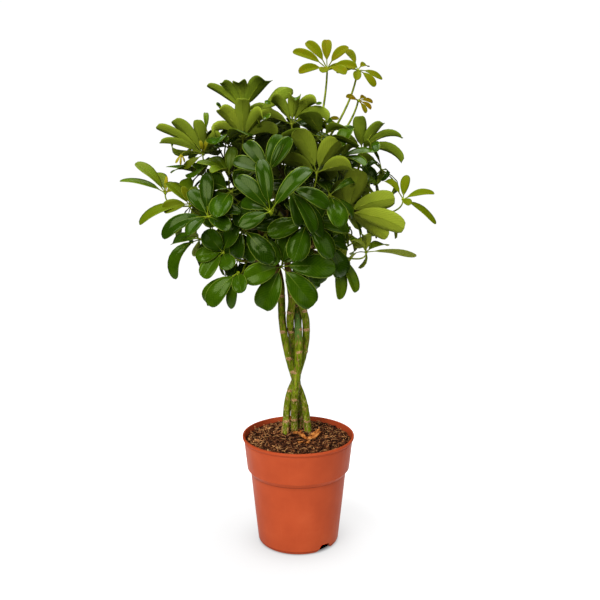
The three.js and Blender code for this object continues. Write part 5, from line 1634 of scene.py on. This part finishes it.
front_template = leaflet_template(*FRONT_GRID, waxy_leaf, matt_leaf)
back_template = leaflet_template(*BACK_GRID, waxy_leaf, matt_leaf)
young_template = leaflet_template(*FRONT_GRID, soft_leaf, soft_underside)
shoot_template = straight_template(10, BOW_STEPS + 1, green_stalk)
petiole_template = straight_template(7, BOW_STEPS + 1, green_stalk)
hub_template = straight_template(9, len(HUB_RADII), green_stalk)
rib_template = straight_template(5, len(RIB_PLACES), green_stalk)
draw = np.random.default_rng(11)
inner_draw = np.random.default_rng(12)
for shoot_name, shoot in shoots.items():
    shoot_radii = [
        SHOOT_RADIUS + (SHOOT_TIP_RADIUS - SHOOT_RADIUS) * share for share in BOW_SHARES
    ]
    parts = [lay_stalk(shoot_template, bow_line(shoot["bow"]), shoot_radii, 0.5, 0.8)]
    packed = [(leaf, draw) for leaf in shoot["leaves"]]
    inner = [(leaf, inner_draw) for leaf in inner_leaves[shoot_name]]
    for leaf, leaf_draw in packed + inner:
        if not leaf["blades"]:
            continue
        stoutness = YOUNG_PETIOLE_STOUTNESS if leaf["age"] < YOUNG_UNTIL else 1.0
        petiole_radii = [
            stoutness * (PETIOLE_RADIUS + (PETIOLE_END_RADIUS - PETIOLE_RADIUS) * share)
            + (PETIOLE_FOOT_RADIUS - PETIOLE_RADIUS) * max(0, 1 - share * PETIOLE_FOOT_FALL)
            for share in BOW_SHARES
        ]
        parts.append(lay_stalk(
            petiole_template, bow_line(leaf["petiole"]), petiole_radii, leaf["age"], 0.0))
        hub_line = [leaf["hub"] + leaf["facing"] * HUB_HALF_HEIGHT * place for place in HUB_PLACES]
        parts.append(lay_stalk(hub_template, hub_line, HUB_RADII, leaf["age"], 0.0))
        # The topmost leaves are cupped, and their tips hang over
        cupped = leaf["front"] and leaf["facing"][1] > 0.3 and leaf["hub"][2] > CUPPED_FROM
        template = front_template if leaf["front"] else back_template
        if leaf["age"] < SOFT_UNTIL:
            template = young_template
        own_forms = LEAFLET_FORMS.get(tuple(int(value) for value in leaf["hub"]), {})
        for i, blade in enumerate(leaf["blades"]):
            age = leaf["age"] + leaf_draw.uniform(-0.1, 0.1) * min(1, 0.3 + 2 * abs(leaf["age"]))
            form = leaflet_form(leaf, blade, cupped, leaf_draw)
            form = own_forms.get(i, form)
            parts.append(shape_leaflet(template, blade, age, 0.0, form, leaf_draw))
            rib_line, up = mid_line(blade, form[0], form[5], 0.0, RIB_PLACES)
            rib_line -= RIB_DEPTHS[:, None] * up
            parts.append(lay_stalk(rib_template, rib_line, RIB_RADII, age, 0.0))
    for foot, tip, width, dried in SMALL_LEAFLETS.get(shoot_name, ()):
        form = (draw.uniform(-0.3, 1.2), draw.uniform(-1.5, 1.5) * dried, 0.2, 0, 1.0, 1.0)
        blade = lone_blade(foot, tip, SMALL_LEAFLET_FACING, width)
        parts.append(shape_leaflet(back_template, blade, SMALL_LEAFLET_AGE, dried, form, draw))
    for foot, tip, facing, width, curl, age in ARCHED_LEAFLETS.get(shoot_name, ()):
        form = (curl, -0.4, 0.4, 0, 1.0, 1.0)
        blade = lone_blade(foot, tip, facing, width)
        parts.append(shape_leaflet(front_template, blade, age, 0.0, form, draw))
    for bow in SMALL_STALKS.get(shoot_name, ()):
        line = bow_line([np.array(point, float) for point in bow])
        radii = [SMALL_STALK_RADIUS] * len(line)
        parts.append(lay_stalk(petiole_template, line, radii, 0.3, 0.3))
    leafy_shoot = join_pieces(shoot_name + "_leaves", parts)
    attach(leafy_shoot, "root")
    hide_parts(shoot_name)

# Studio
# A white acrylic table under a large soft light from the upper left, with a weaker one on the
# right and one above.

# Lights: place, size in metres, and power in watts
STUDIO_LIGHTS = {
    "key_light": ((-950, -1850, 1900), 1.8, 98.0),
    "fill_light": ((1700, -1300, 1100), 1.6, 15.0),
    "top_light": ((100, 200, 2300), 1.6, 50.0),
}
LIGHT_AIM = (0, 0, 450)
ROOM_SEEN = 1.02
ROOM_LIGHT = 0.03

# Matt acrylic that glows as if lit from below, with a soft shadow painted into its glow round the
# pot's foot
acrylic, tree = new_material("backlit_matt_acrylic")
from_middle = add_node(tree, "VectorMath", {
    "operation": "LENGTH", 0: add_node(tree, "TexCoord", output="Object"),
}, "Value")
# Away from the pot the sheet fades out, so that no far edge shows against the white room
sheet_share = add_node(tree, "MapRange", {
    "interpolation_type": "SMOOTHSTEP", "Value": from_middle,
    "From Min": 0.4, "From Max": 0.95, "To Min": 1.0, "To Max": 0.0,
})
# The glow is painted dimmer close round the pot's foot and dark under it: a painted contact shadow
glow_and_painted_shadow = add_node(tree, "MapRange", {
    "interpolation_type": "SMOOTHSTEP", "Value": from_middle,
    "From Min": 0.12, "From Max": 0.4, "To Min": 0.81, "To Max": 1.4,
})
painted_foot_shadow = add_node(tree, "MapRange", {
    "Value": from_middle, "From Min": 0.062, "From Max": 0.135, "To Min": 1.0, "To Max": 0.0,
})
painted_foot_shadow = add_node(tree, "Math", {"operation": "POWER", 0: painted_foot_shadow, 1: 2.0})
glow_and_painted_shadow = add_node(tree, "Math", {"operation": "MULTIPLY_ADD", 0: painted_foot_shadow, 1: -0.2, 2: glow_and_painted_shadow})
painted_shadow_under_pot = add_node(tree, "MapRange", {
    "Value": from_middle, "From Min": 0.057, "From Max": 0.071, "To Min": -0.7, "To Max": 0.0,
})
glow_and_painted_shadow = add_node(tree, "Math", {"operation": "ADD", 0: glow_and_painted_shadow, 1: painted_shadow_under_pot})
add_node(tree, "OutputMaterial", {"Surface": add_node(tree, "BsdfPrincipled", {
    "Base Color": "#6c6c6c", "Roughness": 0.9, "Specular IOR Level": 0.0, "Alpha": sheet_share,
    "Emission Color": (1, 1, 1, 1), "Emission Strength": glow_and_painted_shadow,
})})
floor = new_primitive(bpy.ops.mesh.primitive_circle_add, vertices=64, radius=1, fill_type="NGON")
floor.name = "acrylic_floor"
floor.data.materials.append(acrylic)

for light_name, (place, size, power) in STUDIO_LIGHTS.items():
    light_data = bpy.data.lights.new(light_name, "AREA")
    light_data.size = size
    light_data.energy = power
    light = bpy.data.objects.new(light_name, light_data)
    light.location = Vector(place) * MM
    aim = Vector(LIGHT_AIM) * MM - light.location
    light.rotation_euler = aim.to_track_quat("-Z", "Y").to_euler()
    bpy.context.scene.collection.objects.link(light)

# The room is white to the eye, and gives the plant hardly any light
world = bpy.data.worlds.new("white_room")
world.use_nodes = True
tree = world.node_tree
tree.nodes.clear()
add_node(tree, "OutputWorld", {"Surface": add_node(tree, "MixShader", {
    0: add_node(tree, "LightPath", output="Is Camera Ray"),
    1: add_node(tree, "Background", {"Color": (1, 1, 1, 1), "Strength": ROOM_LIGHT}),
    2: add_node(tree, "Background", {"Color": (1, 1, 1, 1), "Strength": ROOM_SEEN}),
})})
bpy.context.scene.world = world
